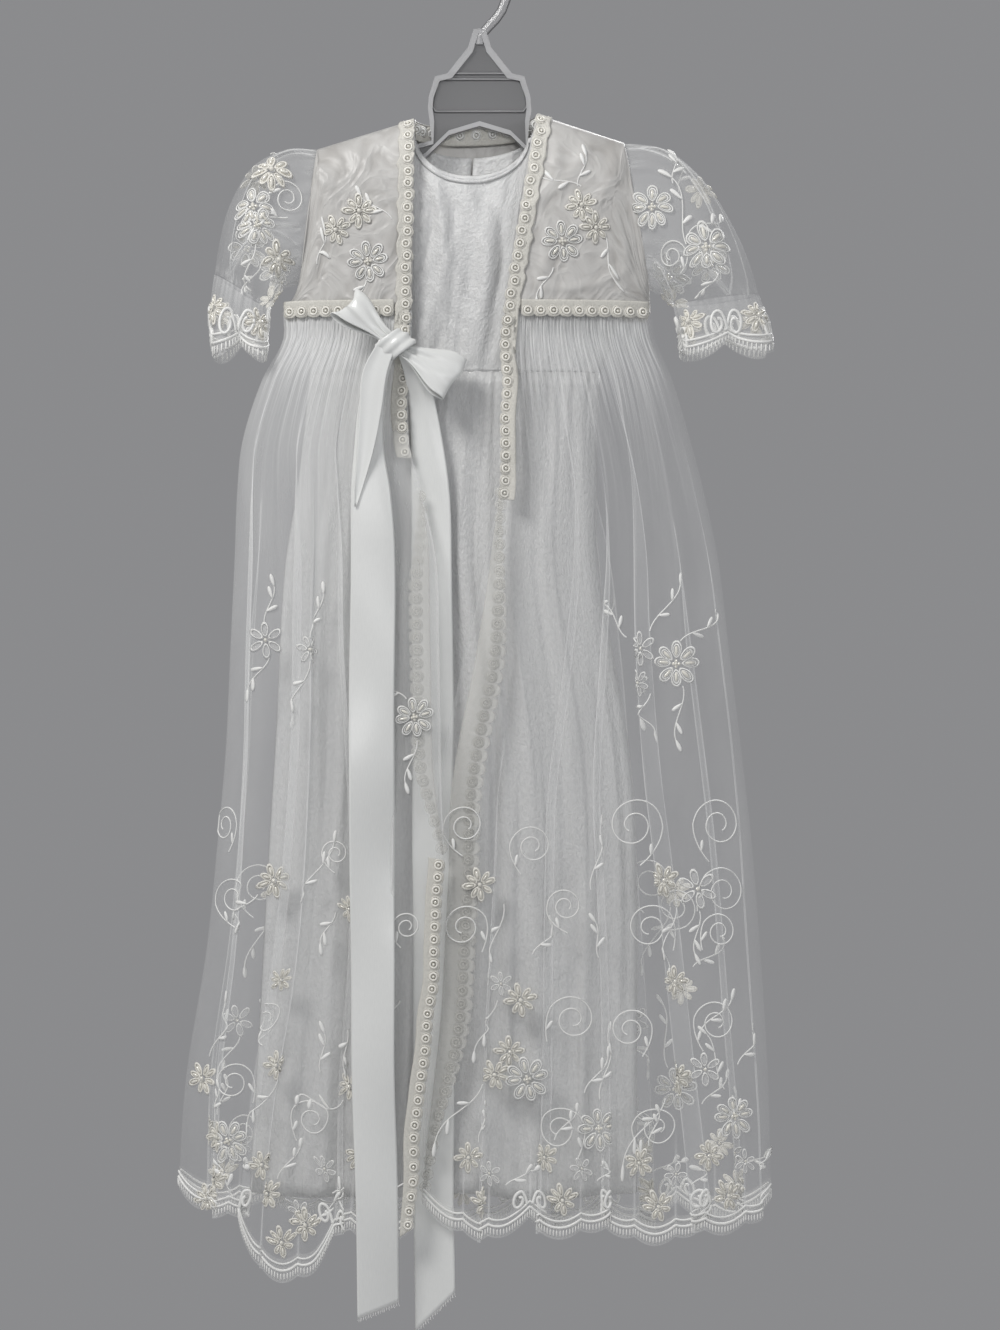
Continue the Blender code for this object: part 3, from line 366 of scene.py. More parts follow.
def ridged(u, v, ridges):
    """How far soft ridges stand out."""
    out = np.zeros_like(u)
    for number, ridge in enumerate(ridges):
        place = lerp(ridge.top, ridge.hem, v) + 0.008 * uneven(v, 0.6, number + 5)
        out += ridge.depth * np.exp(-(((u - place) / ridge.width) ** 2))
    return out * smooth((v - 0.01) / 0.30)


def creased(x, z, creases):
    """How far creases stand out at a place on the front of the cloth."""
    out = np.zeros_like(x)
    for crease in creases:
        turn = math.radians(crease.turn)
        along = (x - crease.x) * math.cos(turn) + (z - crease.z) * math.sin(turn)
        aside = -(x - crease.x) * math.sin(turn) + (z - crease.z) * math.cos(turn)
        bent = aside - 0.25 * along * along / crease.long
        out += crease.deep * np.exp(-((bent / crease.wide) ** 2)) * np.exp(-((along / crease.long) ** 2))
    return out


def bulge(share):
    """Depth of a flattened tube from its side seam (0) to its middle (1)."""
    return (1.0 - (1.0 - np.clip(share, 0.0, 1.0)) ** 2.4) ** (1.0 / 2.4)


# %% From a function to a mesh
SHARP = 900.0             # a bend of this many radians a metre counts as a full crease
SLIGHT = 0.12             # the share of it that doesn't show yet
LEAST_STEP = 0.0002       # metres, so that close places on a net don't count as a bend


def sharpness(net):
    """How sharply each place on a net is bent across its width, from 0 to 1."""
    step = np.diff(net, axis=1)
    length = np.linalg.norm(step, axis=2) + 1e-9
    heading = step / length[:, :, None]
    bend = np.linalg.norm(np.diff(heading, axis=1), axis=2) / np.maximum(length[:, 1:], LEAST_STEP)
    marks = np.zeros(net.shape[:2])
    marks[:, 1:-1] = np.clip(bend / SHARP - SLIGHT, 0.0, 1.0)
    return marks


def lay_out(name, surface, columns, rows, material, flat, outward, wall=0.0, dense=0.0):
    """A sheet of cloth: a grid laid on surface(u, v), with a UV map in metres of flat cloth.

    wall is its thickness, and dense is how much denser its gathers make it at its top."""
    bpy.ops.mesh.primitive_grid_add(x_subdivisions=columns, y_subdivisions=rows, size=1.0)
    sheet = bpy.context.object
    sheet.name = name
    sheet.data.name = name
    flat_places = np.empty(len(sheet.data.vertices) * 3)
    sheet.data.vertices.foreach_get("co", flat_places)
    flat_places = flat_places.reshape(-1, 3)
    hung = surface(flat_places[:, 0] + 0.5, 0.5 - flat_places[:, 1])
    sheet.data.vertices.foreach_set("co", hung.ravel())
    crease = sheet.data.attributes.new("crease", "FLOAT", "POINT")
    gathered = dense * (flat_places[:, 1] + 0.55)
    crease.data.foreach_set("value", sharpness(hung.reshape(rows + 1, columns + 1, 3)).ravel() + gathered)
    uv = sheet.data.uv_layers.active.data
    for loop in uv:
        loop.uv = (loop.uv[0] * flat[0], loop.uv[1] * flat[1])
    sheet.data.update()
    facing = np.mean([face.normal @ outward(face.center) for face in sheet.data.polygons])
    if facing < 0.0:
        sheet.data.flip_normals()
    sheet.data.shade_smooth()
    sheet.data.materials.append(material)
    if wall:
        thick = sheet.modifiers.new("wall", "SOLIDIFY")
        thick.thickness = wall
        thick.offset = 0.0
        bpy.ops.object.modifier_apply(modifier=thick.name)
    sheet.select_set(False)
    return sheet


def away_from_y(side):
    """Outward on a panel that faces the front (-1) or the back (1)."""
    return lambda centre: Vector((0.0, side, 0.0))


def area_of(piece):
    """A piece's whole surface, in square metres."""
    return sum(face.area for face in piece.data.polygons)


def stand_for(piece, slot, *nodes):
    """The piece moves with the gown and stands for its solids; its slot is not used."""
    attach(piece, "root")
    if nodes:
        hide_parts(*nodes)


def tell(piece, flat, walls=1, share=1.0):
    """Print a sheet's area as it hangs and as it was cut."""
    hung, cut = area_of(piece) / walls, flat[0] * flat[1] * share
    print(piece.name, "area", round(hung, 5), "m2, cut", round(cut, 5))


def in_edit_mode(piece, step):
    """Do one step of edit mode on the whole of a piece."""
    bpy.context.view_layer.objects.active = piece
    piece.select_set(True)
    bpy.ops.object.mode_set(mode="EDIT")
    bpy.ops.mesh.select_all(action="SELECT")
    step()
    bpy.ops.object.mode_set(mode="OBJECT")
    piece.select_set(False)

# %% [markdown]
# ## The satin dress
# The dress is a bodice front, two bodice backs that meet at the buttons, and two gathered skirt panels.
# Satin is opaque, so its folds are soft ridges that start at the waist gathers and widen towards the
# hem.  A cloth simulation could drape them, but the gown hangs flat and its folds are known, so each is
# placed one by one and comes out the same every time.  The cloth gets a real wall, because its cut edges
# show at the hem, the armholes and the neck.

# %% The dress's sizes
DRESS = [
    Tube(-0.2665, -0.1138, 0.0748, 0.0130, 0.0125),
    Tube(-0.2900, -0.1160, 0.0730, 0.0130, 0.0125),
    Tube(-0.3430, -0.1220, 0.0722, 0.0130, 0.0130),
    Tube(-0.3950, -0.1300, 0.0735, 0.0130, 0.0130),
    Tube(-0.5050, -0.1360, 0.0925, 0.0135, 0.0135),
    Tube(-0.5770, -0.1404, 0.0982, 0.0140, 0.0135),
    Tube(-0.7000, -0.1470, 0.0985, 0.0140, 0.0140),
    Tube(-0.8000, -0.1528, 0.0985, 0.0140, 0.0140),
]
DRESS_LEFT = Shoulder(-0.0468, -0.1118, -0.1010, -0.1275, -0.1155, -0.2050)
DRESS_RIGHT = Shoulder(0.0306, -0.1105, 0.0850, -0.1260, 0.0990, -0.2050)
DRESS_WAIST_Z = -0.2665
DRESS_HEM_Z = -0.8000
DRESS_FRONT_RIDGES = [
    Ridge(0.12, 0.09, 0.030, 0.0024),
    Ridge(0.21, 0.18, 0.034, 0.0038),
    Ridge(0.32, 0.30, 0.030, 0.0046),
    Ridge(0.40, 0.40, 0.020, 0.0022),
    Ridge(0.47, 0.46, 0.032, 0.0048),
    Ridge(0.57, 0.59, 0.028, 0.0042),
    Ridge(0.64, 0.67, 0.018, 0.0020),
    Ridge(0.71, 0.74, 0.032, 0.0046),
    Ridge(0.83, 0.86, 0.028, 0.0034),
]
DRESS_BACK_RIDGES = [
    Ridge(0.12, 0.10, 0.022, 0.0024),
    Ridge(0.22, 0.20, 0.026, 0.0040),
    Ridge(0.31, 0.30, 0.018, 0.0022),
    Ridge(0.40, 0.39, 0.024, 0.0045),
    Ridge(0.50, 0.51, 0.018, 0.0026),
    Ridge(0.60, 0.61, 0.026, 0.0045),
    Ridge(0.70, 0.72, 0.018, 0.0022),
    Ridge(0.80, 0.81, 0.024, 0.0038),
    Ridge(0.90, 0.90, 0.018, 0.0022),
]


# %% Gathered panels
def gathers(u, v, width, wave, deep, reach, seed):
    """Small close puckers below a gathered seam, which die out further down."""
    at = u * width + 0.004 * uneven(v, 0.35, seed)
    return deep * uneven(at, wave, seed) * smooth(v / 0.008) * np.exp(-v / reach)


def dress_skirt(side, column, ridges, seed):
    """Surface of a dress skirt panel that faces the front (-1) or the back (1)."""

    def surface(u, v):
        z = lerp(DRESS_WAIST_Z - SEAM, DRESS_HEM_Z + 0.002 * uneven(u, 0.5, seed), v)
        left = read(DRESS, "left", z)
        right = read(DRESS, "right", z)
        sway = 0.0012 * uneven(u, 0.2, seed) * smooth(v) * smooth(u / 0.1) * smooth((1 - u) / 0.1)
        x = lerp(left, right, u) + sway
        edge = np.where(x < MID_X, left, right)
        depth = read(DRESS, column, z) * bulge((x - edge) / (MID_X - edge))
        quiet = smooth(u / 0.06) * smooth((1.0 - u) / 0.06)
        out = ridged(u, v, ridges) + gathers(u, v, 0.19, 0.0085, 0.0013, 0.055, seed)
        out += 0.0005 * uneven(u, 0.12, seed + 4) * smooth(v / 0.2)
        return np.stack([x, side * (SEAM + depth + out * quiet), z], axis=1)

    return surface


dress_front_skirt = dress_skirt(-1.0, "front", DRESS_FRONT_RIDGES, 1.3)
dress_back_skirt = dress_skirt(1.0, "back", DRESS_BACK_RIDGES, 2.6)


# %% Bodice panels
def stack(x, y, z):
    return np.stack(np.broadcast_arrays(x, y, z), axis=1)


def armhole(shoulder, depth, share, side):
    """Armhole edge from the underarm (0) to the shoulder tip (1)."""
    turn = np.pi * share
    along = (1.0 - np.cos(turn)) / 2.0
    return stack(
        lerp(shoulder.arm_x, shoulder.tip_x, along),
        side * (SEAM + depth * np.sin(turn)),
        lerp(shoulder.arm_z, shoulder.tip_z, along),
    )


def shoulder_line(shoulder, share, side):
    """Shoulder seam from its tip (0) to the neck (1)."""
    x = lerp(shoulder.tip_x, shoulder.neck_x, share)
    return stack(x, side * SEAM, lerp(shoulder.tip_z, shoulder.neck_z, share))


def whole_top(left, right, hole, drop, depth, side, tip_u=0.18, neck_u=0.34):
    """Top edge of a full-width panel: armhole, shoulder, neckline, shoulder, armhole."""

    def top(u):
        points = np.empty((len(u), 3))
        for shoulder, share in ((left, u), (right, 1.0 - u)):
            hole_part = share <= tip_u
            points[hole_part] = armhole(shoulder, hole, share[hole_part] / tip_u, side)
            seam_part = (share > tip_u) & (share <= neck_u)
            points[seam_part] = shoulder_line(shoulder, (share[seam_part] - tip_u) / (neck_u - tip_u), side)
        neck = (u > neck_u) & (u < 1.0 - neck_u)
        turn = np.pi * (u[neck] - neck_u) / (1.0 - 2.0 * neck_u)
        across = (1.0 - np.cos(turn)) / 2.0
        points[neck] = stack(
            lerp(left.neck_x, right.neck_x, across),
            side * (SEAM + depth * np.sin(turn)),
            lerp(left.neck_z, right.neck_z, across) - drop * np.sin(turn),
        )
        return points

    return top


def bodice(top, bottom, side, chest, creases, seed, waves):
    """Ruled surface from a top edge to a waist seam, rolled over the shoulder and creased."""

    def surface(u, v):
        above, under = top(u), bottom(u)
        point = lerp(above, under, v[:, None])
        roll = np.sqrt(1.0 - (1.0 - np.clip(v / 0.30, 0.0, 1.0)) ** 2)
        at_waist = np.abs(under[:, 1])
        full = lerp(np.minimum(chest, at_waist * 1.02), at_waist, v)
        loose = smooth(v / 0.12) * smooth((1.0 - v) / 0.06) * smooth(u / 0.05) * smooth((1.0 - u) / 0.05)
        x, z = point[:, 0], point[:, 2]
        out = creased(x, z, creases) + waves * uneven(x + 0.5 * z, 0.021, seed) * uneven(z, 0.034, seed)
        point[:, 1] = side * (lerp(np.abs(above[:, 1]), full, roll) + out * loose)
        return point

    return surface


def seam_above(panel):
    """The waist edge of a bodice, a seam's width above its skirt."""

    def bottom(u):
        edge = panel(u, np.zeros_like(u))
        edge[:, 2] -= SEAM
        return edge

    return bottom


DRESS_CREASES = [
    Crease(-0.027, -0.190, 89, 0.060, 0.0048, 0.0028),
    Crease(-0.034, -0.170, 88, 0.030, 0.0026, -0.0026),
    Crease(-0.020, -0.166, 91, 0.026, 0.0026, -0.0026),
    Crease(0.011, -0.180, 95, 0.045, 0.0034, -0.0026),
    Crease(0.001, -0.200, 93, 0.060, 0.0058, 0.0028),
    Crease(-0.012, -0.225, 100, 0.040, 0.0040, 0.0015),
    Crease(-0.030, -0.235, 78, 0.030, 0.0035, 0.0014),
    Crease(0.012, -0.240, 84, 0.026, 0.0035, 0.0013),
    Crease(-0.036, -0.150, 92, 0.010, 0.0018, 0.0009),
    Crease(-0.029, -0.152, 88, 0.010, 0.0018, 0.0010),
    Crease(-0.022, -0.153, 90, 0.010, 0.0016, 0.0009),
    Crease(-0.070, -0.200, 60, 0.040, 0.0060, 0.0014),
    Crease(0.050, -0.200, 120, 0.040, 0.0060, 0.0014),
    Crease(-0.080, -0.245, 86, 0.018, 0.0030, 0.0010),
    Crease(0.040, -0.250, 92, 0.018, 0.0030, 0.0010),
]
CHEST = 0.0130            # half the dress's depth at the chest
dress_front_top = whole_top(DRESS_LEFT, DRESS_RIGHT, 0.0090, 0.0305, 0.0120, -1.0)
dress_back_top = whole_top(DRESS_LEFT, DRESS_RIGHT, 0.0090, 0.0150, 0.0115, 1.0)
front_seam, back_seam = seam_above(dress_front_skirt), seam_above(dress_back_skirt)
dress_front = bodice(dress_front_top, front_seam, -1.0, CHEST, DRESS_CREASES, 1.0, 0.0006)
dress_back = bodice(dress_back_top, back_seam, 1.0, CHEST, DRESS_CREASES[3:], 2.0, 0.0006)


# %% Cut and hang the dress
def part_of(surface, start, end):
    """The part of a panel between two shares across it."""
    return lambda u, v: surface(lerp(start, end, u), v)


SATIN_WALL = 0.0006
DRESS_CUT = 0.72          # what the armholes and neck leave of a bodice panel's rectangle
HALF = (0.125, 0.16)
SKIRT = (0.30, 0.535)
back_left, back_right = part_of(dress_back, 0.0, 0.4985), part_of(dress_back, 0.5015, 1.0)
DRESS_SHEETS = [
    ("dress_bodice_front", dress_front, 130, 80, (0.24, 0.16), -1.0, "dress_front_bodice"),
    ("dress_bodice_back_left", back_left, 50, 60, HALF, 1.0, "dress_back_bodice_left"),
    ("dress_bodice_back_right", back_right, 50, 60, HALF, 1.0, "dress_back_bodice_right"),
    ("dress_skirt_front", dress_front_skirt, 190, 60, SKIRT, -1.0, "dress_front_skirt"),
    ("dress_skirt_back", dress_back_skirt, 160, 50, SKIRT, 1.0, "dress_back_skirt"),
]
for name, surface, columns, rows, flat, side, node in DRESS_SHEETS:
    piece = lay_out(name, surface, columns, rows, satin, flat, away_from_y(side), SATIN_WALL)
    stand_for(piece, "satin", node)
    held, share = ("gathered", 1.0) if "skirt" in name else ("hung", DRESS_CUT)
    tell(piece, flat, 2, share)

# %% [markdown]
# ## Neck binding and back buttons
# A folded strip of the same satin binds the neck.  In section it is a low rounded welt with a stitched
# valley along its lower edge.  It could be a bent tube, but laid on the bodice's own surface it follows
# the neck exactly.  The back closes with three covered buttons: one is shaped from a cylinder, its face
# domed by two insets and its rim bevelled, and a copy goes to each place down the opening.

# %% Neck binding


def normals_of(surface, u, v, side):
    """Unit normals of a surface at many places, turned outward."""
    step = 0.0015
    across = surface(np.minimum(u + step, 1.0), v) - surface(np.maximum(u - step, 0.0), v)
    down = surface(u, np.minimum(v + step, 1.0)) - surface(u, np.maximum(v - step, 0.0))
    out = np.cross(across, down)
    out /= np.linalg.norm(out, axis=1)[:, None] + 1e-12
    flip = out[:, 1] * side < 0.0
    out[flip] *= -1.0
    return out


def raised(surface, side, profile):
    """A panel's surface moved out along its normal by profile(u, v)."""

    def moved(u, v):
        return surface(u, v) + normals_of(surface, u, v, side) * profile(u, v)[:, None]

    return moved


def welt(u, v):
    """Height of a bound edge: a rounded section with a line of stitches sunk in it."""
    rounded = np.sqrt(np.clip(1.0 - (2.0 * v - 1.0) ** 2, 0.0, 1.0))
    stitches = np.exp(-(((v - 0.62) / 0.06) ** 2))
    return 0.0008 + 0.0011 * rounded - 0.0005 * stitches + 0.0 * u


def strip_of(surface, start, end, top, low):
    """A part of a panel between shares across it and down it."""
    return lambda u, v: surface(lerp(start, end, u), lerp(top, low, v))


NECK_START, NECK_END = 0.345, 0.655    # where the neckline lies along a bodice's top edge
BINDINGS = [
    ("neck_binding_front", dress_front, -1.0, NECK_START, NECK_END, 0.095, "dress_neck_binding_front"),
    ("neck_binding_back_left", dress_back, 1.0, NECK_START, 0.4975, 0.045, "dress_neck_binding_back_left"),
    ("neck_binding_back_right", dress_back, 1.0, 0.5025, NECK_END, 0.045, "dress_neck_binding_back_right"),
]
for name, panel, side, start, end, length, node in BINDINGS:
    surface = raised(strip_of(panel, start, end, -0.004, 0.036), side, welt)
    piece = lay_out(name, surface, 60, 12, satin, (length, 0.006), away_from_y(side), 0.0005)
    stand_for(piece, "satin", node)
    print(name, "area", round(area_of(piece) / 2, 5), "m2")

# %% Covered buttons
button_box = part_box("dress_button_1")
button_size = (button_box[1].x - button_box[0].x) / 2
BUTTON_THICK = 0.0020
bpy.ops.mesh.primitive_cylinder_add(vertices=28, radius=button_size, depth=BUTTON_THICK)
first_button = bpy.context.object
bpy.ops.object.mode_set(mode="EDIT")
bpy.ops.mesh.select_all(action="DESELECT")
bpy.ops.object.mode_set(mode="OBJECT")
for face in first_button.data.polygons:
    face.select = face.normal.z > 0.9
bpy.ops.object.mode_set(mode="EDIT")
bpy.ops.mesh.inset(thickness=button_size * 0.22)
bpy.ops.transform.translate(value=(0.0, 0.0, 0.0006))
bpy.ops.mesh.inset(thickness=button_size * 0.40)
bpy.ops.transform.translate(value=(0.0, 0.0, 0.0003))
bpy.ops.object.mode_set(mode="OBJECT")
round_off = first_button.modifiers.new("round_off", "BEVEL")
round_off.width = 0.0004
round_off.segments = 2
bpy.ops.object.modifier_apply(modifier=round_off.name)
first_button.data.transform(Matrix.Rotation(math.radians(-90), 4, "X"))
first_button.data.shade_smooth()
first_button.data.materials.append(satin)
for number in (1, 2, 3):
    low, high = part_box("dress_button_" + str(number))
    button = bpy.data.objects.new("covered_button_" + str(number), first_button.data.copy())
    button.data.transform(Matrix.Translation((low + high) / 2))
    bpy.context.collection.objects.link(button)
    stand_for(button, "satin", "dress_button_" + str(number))
bpy.data.objects.remove(first_button)
print("buttons:", round(button_size * 2000, 1), "mm across")

# %% [markdown]
# ## The organza robe
# Sheer cloth shows its folds as bands: where a pleat doubles back there are three layers, and the band
# is whiter, with a crisp edge.  A flat sheet with painted bands would look right from one side only, so
# each skirt panel is a single thin layer with real pleats that turn under themselves, wide at the hem
# and lost in the gathers at the waist.  The two fronts also turn under along their open edges, which is
# modelled as a strip that starts in the fold itself.

# %% The robe's sizes
ROBE = [
    Tube(-0.2275, -0.1313, 0.1073, 0.0205, 0.0190),
    Tube(-0.2460, -0.1313, 0.1105, 0.0215, 0.0195),
    Tube(-0.2720, -0.1450, 0.1216, 0.0230, 0.0205),
    Tube(-0.3110, -0.1575, 0.1333, 0.0250, 0.0215),
    Tube(-0.3430, -0.1610, 0.1417, 0.0265, 0.0220),
    Tube(-0.3890, -0.1628, 0.1515, 0.0280, 0.0225),
    Tube(-0.4470, -0.1655, 0.1585, 0.0290, 0.0230),
    Tube(-0.5120, -0.1685, 0.1665, 0.0290, 0.0235),
    Tube(-0.5700, -0.1736, 0.1730, 0.0290, 0.0240),
    Tube(-0.6420, -0.1810, 0.1788, 0.0290, 0.0240),
    Tube(-0.7270, -0.1945, 0.1840, 0.0290, 0.0245),
    Tube(-0.8070, -0.1996, 0.1859, 0.0290, 0.0250),
]
ROBE_OPENING = [
    Opening(-0.1000, -0.0450, 0.0335),
    Opening(-0.2275, -0.0468, 0.0117),
    Opening(-0.3110, -0.0488, 0.0098),
    Opening(-0.3430, -0.0415, 0.0090),
    Opening(-0.3890, -0.0310, 0.0000),
    Opening(-0.4470, -0.0290, -0.0130),
    Opening(-0.5320, -0.0275, -0.0293),
    Opening(-0.5900, -0.0262, -0.0315),
    Opening(-0.6750, -0.0312, -0.0358),
    Opening(-0.7400, -0.0390, -0.0384),
    Opening(-0.8300, -0.0465, -0.0410),
]
LEFT_HEM = [
    Hem(0.0, -0.790), Hem(0.28, -0.797), Hem(0.40, -0.824),
    Hem(0.60, -0.831), Hem(0.74, -0.803), Hem(1.0, -0.812),
]
RIGHT_HEM = [Hem(0.0, -0.797), Hem(0.15, -0.806), Hem(0.4, -0.803), Hem(0.65, -0.808), Hem(1.0, -0.798)]
BACK_HEM = [Hem(0.0, -0.790), Hem(0.35, -0.804), Hem(0.7, -0.810), Hem(1.0, -0.798)]
ROBE_WAIST_Z = -0.2275
ROBE_LEFT = Shoulder(-0.0450, -0.1027, -0.1086, -0.1222, -0.1200, -0.2130)
ROBE_RIGHT = Shoulder(0.0335, -0.0995, 0.0900, -0.1180, 0.1065, -0.2120)

# A pleat's sign of tightness says which way it turns under.
LEFT_PLEATS = [
    Pleat(0.090, 0.15, 0.040, 0.014, 0.0014, 0.02),
    Pleat(0.36, 0.31, 0.060, -0.018, 0.0014, 0.03),
    Pleat(0.47, 0.43, 0.018, 0.009, 0.0009, 0.12),
    Pleat(0.60, 0.72, 0.042, 0.013, 0.0013, 0.03),
    Pleat(0.80, 0.86, 0.020, -0.009, 0.0009, 0.25),
]
RIGHT_PLEATS = [
    Pleat(0.16, 0.13, 0.022, 0.009, 0.0009, 0.35),
    Pleat(0.33, 0.30, 0.045, -0.014, 0.0012, 0.03),
    Pleat(0.48, 0.50, 0.040, 0.013, 0.0012, 0.06),
    Pleat(0.66, 0.78, 0.075, -0.020, 0.0016, 0.01),
    Pleat(0.955, 0.965, 0.018, 0.008, 0.0009, 0.05),
]
BACK_PLEATS = [
    Pleat(0.04, 0.045, 0.016, 0.0060, 0.0010, 0.10),
    Pleat(0.17, 0.16, 0.030, -0.0085, 0.0014, 0.04),
    Pleat(0.33, 0.31, 0.026, 0.0080, 0.0012, 0.08),
    Pleat(0.47, 0.46, 0.034, -0.0090, 0.0014, 0.03),
    Pleat(0.62, 0.64, 0.026, 0.0080, 0.0012, 0.10),
    Pleat(0.77, 0.80, 0.034, -0.0090, 0.0014, 0.03),
    Pleat(0.93, 0.945, 0.020, 0.0065, 0.0010, 0.12),
]
LEFT_RIDGES = [
    Ridge(0.18, 0.19, 0.05, 0.0022),
    Ridge(0.44, 0.48, 0.05, 0.0026),
    Ridge(0.74, 0.79, 0.05, 0.0022),
]
RIGHT_RIDGES = [
    Ridge(0.20, 0.17, 0.04, 0.0022),
    Ridge(0.41, 0.39, 0.04, 0.0028),
    Ridge(0.60, 0.62, 0.04, 0.0024),
    Ridge(0.84, 0.87, 0.04, 0.0022),
]
BACK_RIDGES = [
    Ridge(0.11, 0.11, 0.028, 0.0026),
    Ridge(0.22, 0.21, 0.030, 0.0032),
    Ridge(0.42, 0.42, 0.030, 0.0030),
    Ridge(0.53, 0.53, 0.028, 0.0030),
    Ridge(0.64, 0.65, 0.030, 0.0032),
    Ridge(0.86, 0.87, 0.028, 0.0026),
]

# %% Scalloped hem: units of three arcs that rise to a pair of scrolls
HEM_LEAST = 0.005         # depth of the border where two units meet
HEM_SWAG = 0.012          # how much deeper a unit hangs at its middle
HEM_ARC = 0.0045          # depth of each small arc


def hem_drop(u, units):
    """Depth of the lace border below the panel's own hem line."""
    share = (u * units) % 1.0
    swag = 1.0 - np.abs(2.0 * share - 1.0) ** 2.2
    arc = np.abs(np.sin(3.0 * np.pi * share)) ** 0.8
    return HEM_LEAST + HEM_SWAG * swag + HEM_ARC * arc * lerp(0.5, 1.0, swag)


class Panel:
    """A panel of cloth that can be sewn on: finds places on it and lays small things there."""

    def __init__(self, surface, side, plain=None, stretch=1.0, tube=False):
        """plain is the panel without its pleats, and stretch is how much wider its cloth is than it."""
        self.surface, self.plain, self.stretch, self.tube = surface, plain or surface, stretch, tube
        self.side = side
        us, vs = np.meshgrid(np.linspace(0.0, 0.5 if tube else 1.0, 500), np.linspace(0.0, 1.0, 160))
        self.us, self.vs = us.ravel(), vs.ravel()
        self.net = surface(self.us, self.vs)
        self.turn = 1.0
        self.turn = np.sign(self.out(np.array([0.25 if tube else 0.5]), np.array([0.5]), True)[0, 1]) * side

    def out(self, us, vs, plain=False):
        """The cloth's own outward direction, also where it is folded under."""
        cloth = self.plain if plain else self.surface
        step = 0.0012
        across = cloth(us + step if self.tube else np.minimum(us + step, 1.0), vs)
        across -= cloth(us - step if self.tube else np.maximum(us - step, 0.0), vs)
        down = cloth(us, np.minimum(vs + step, 1.0)) - cloth(us, np.maximum(vs - step, 0.0))
        out = np.cross(across, down) * self.turn
        return out / (np.linalg.norm(out, axis=1)[:, None] + 1e-12)

    def on(self, us, vs, lift):
        """Places on the cloth, moved out by lift."""
        us, vs = np.asarray(us, float), np.asarray(vs, float)
        if not self.tube:
            us = np.clip(us, 0.0, 1.0)
        vs = np.clip(vs, 0.0, 1.0)
        return self.surface(us, vs) + self.out(us, vs) * np.broadcast_to(lift, us.shape)[:, None]

    def find(self, x, z):
        """The shares (u, v) of the outermost cloth at a place as seen from outside."""
        near = np.hypot(self.net[:, 0] - x, self.net[:, 2] - z)
        close = near < max(0.0025, near.min() * 1.05)
        outermost = np.where(close, self.net[:, 1] * self.side, -1e9).argmax()
        return self.us[outermost], self.vs[outermost]

    def cover(self, u, v, shape, lift=0.0003):
        """Lay a small flat shape (right, out, up) on the cloth about (u, v), true to size."""
        reach = 0.03
        low_v, high_v = max(v - reach, 0.0), min(v + reach, 1.0)
        low_u, high_u = (u - reach, u + reach) if self.tube else (max(u - reach, 0.0), min(u + reach, 1.0))
        spots = self.plain(np.array([low_u, high_u, u, u]), np.array([v, v, low_v, high_v]))
        along = (spots[1] - spots[0]) / (high_u - low_u) * self.stretch
        down = (spots[3] - spots[2]) / (high_v - low_v)
        out = self.out(np.array([u]), np.array([v]), True)[0]
        right = np.array([1.0, 0.0, 0.0]) - out[0] * out
        right /= np.linalg.norm(right)
        up = np.cross(right, out)
        up *= np.sign(up[2])
        turn = np.linalg.inv(np.array([[along @ right, down @ right], [along @ up, down @ up]]))
        steps = turn @ np.stack([shape[:, 0], shape[:, 2]])
        return self.on(u + steps[0], v + steps[1], lift + shape[:, 1])


# %% Robe skirt panels
TRIM_WIDTH = 0.0105
EDGE_LIFTS_Z = -0.3400    # from here down, the left front's edge lies over the right front


def robe_skirt(side, column, edges, hem, units, ridges, seams, width, seed, lifted, pleats):
    """Surface of a robe skirt panel.

    seams says which of its two sides end at a side seam, and lifted is how far its open edge stands
    out, where it lies over the other front."""

    def surface(u, v):
        z = lerp(ROBE_WAIST_Z - SEAM, read(hem, "z", u, "u"), v)
        z = z - hem_drop(u, units) * smooth((v - 0.90) / 0.10)
        left, right = edges(z)
        across, deep = pleated(u, v, pleats)
        x = lerp(left, right, across)
        seam_x = np.where(x < MID_X, read(ROBE, "left", z), read(ROBE, "right", z))
        depth = read(ROBE, column, z) * bulge((x - seam_x) / (MID_X - seam_x))
        quiet = np.ones_like(u)
        if seams[0]:
            quiet *= smooth(u / 0.07)
        if seams[1]:
            quiet *= smooth((1.0 - u) / 0.07)
        out = ridged(u, v, ridges) + gathers(u, v, width, 0.0062, 0.0008, 0.045, seed) - deep
        out += 0.0007 * uneven(u * width, 0.043, seed + 2) * smooth(v / 0.15)
        out += 0.00015 * uneven(u * width, 0.012, seed + 3) * smooth(v / 0.10)
        at_edge = smooth(1.0 - (right - x - TRIM_WIDTH) / 0.05)
        front_edge = lifted * smooth((EDGE_LIFTS_Z - z) / 0.15) * at_edge
        return np.stack([x, side * (SEAM + depth + out * quiet + front_edge), z], axis=1)

    return surface


def left_edges(z):
    return read(ROBE, "left", z), read(ROBE_OPENING, "left", z)


def right_edges(z):
    return read(ROBE_OPENING, "right", z), read(ROBE, "right", z)


def back_edges(z):
    return read(ROBE, "left", z), read(ROBE, "right", z)


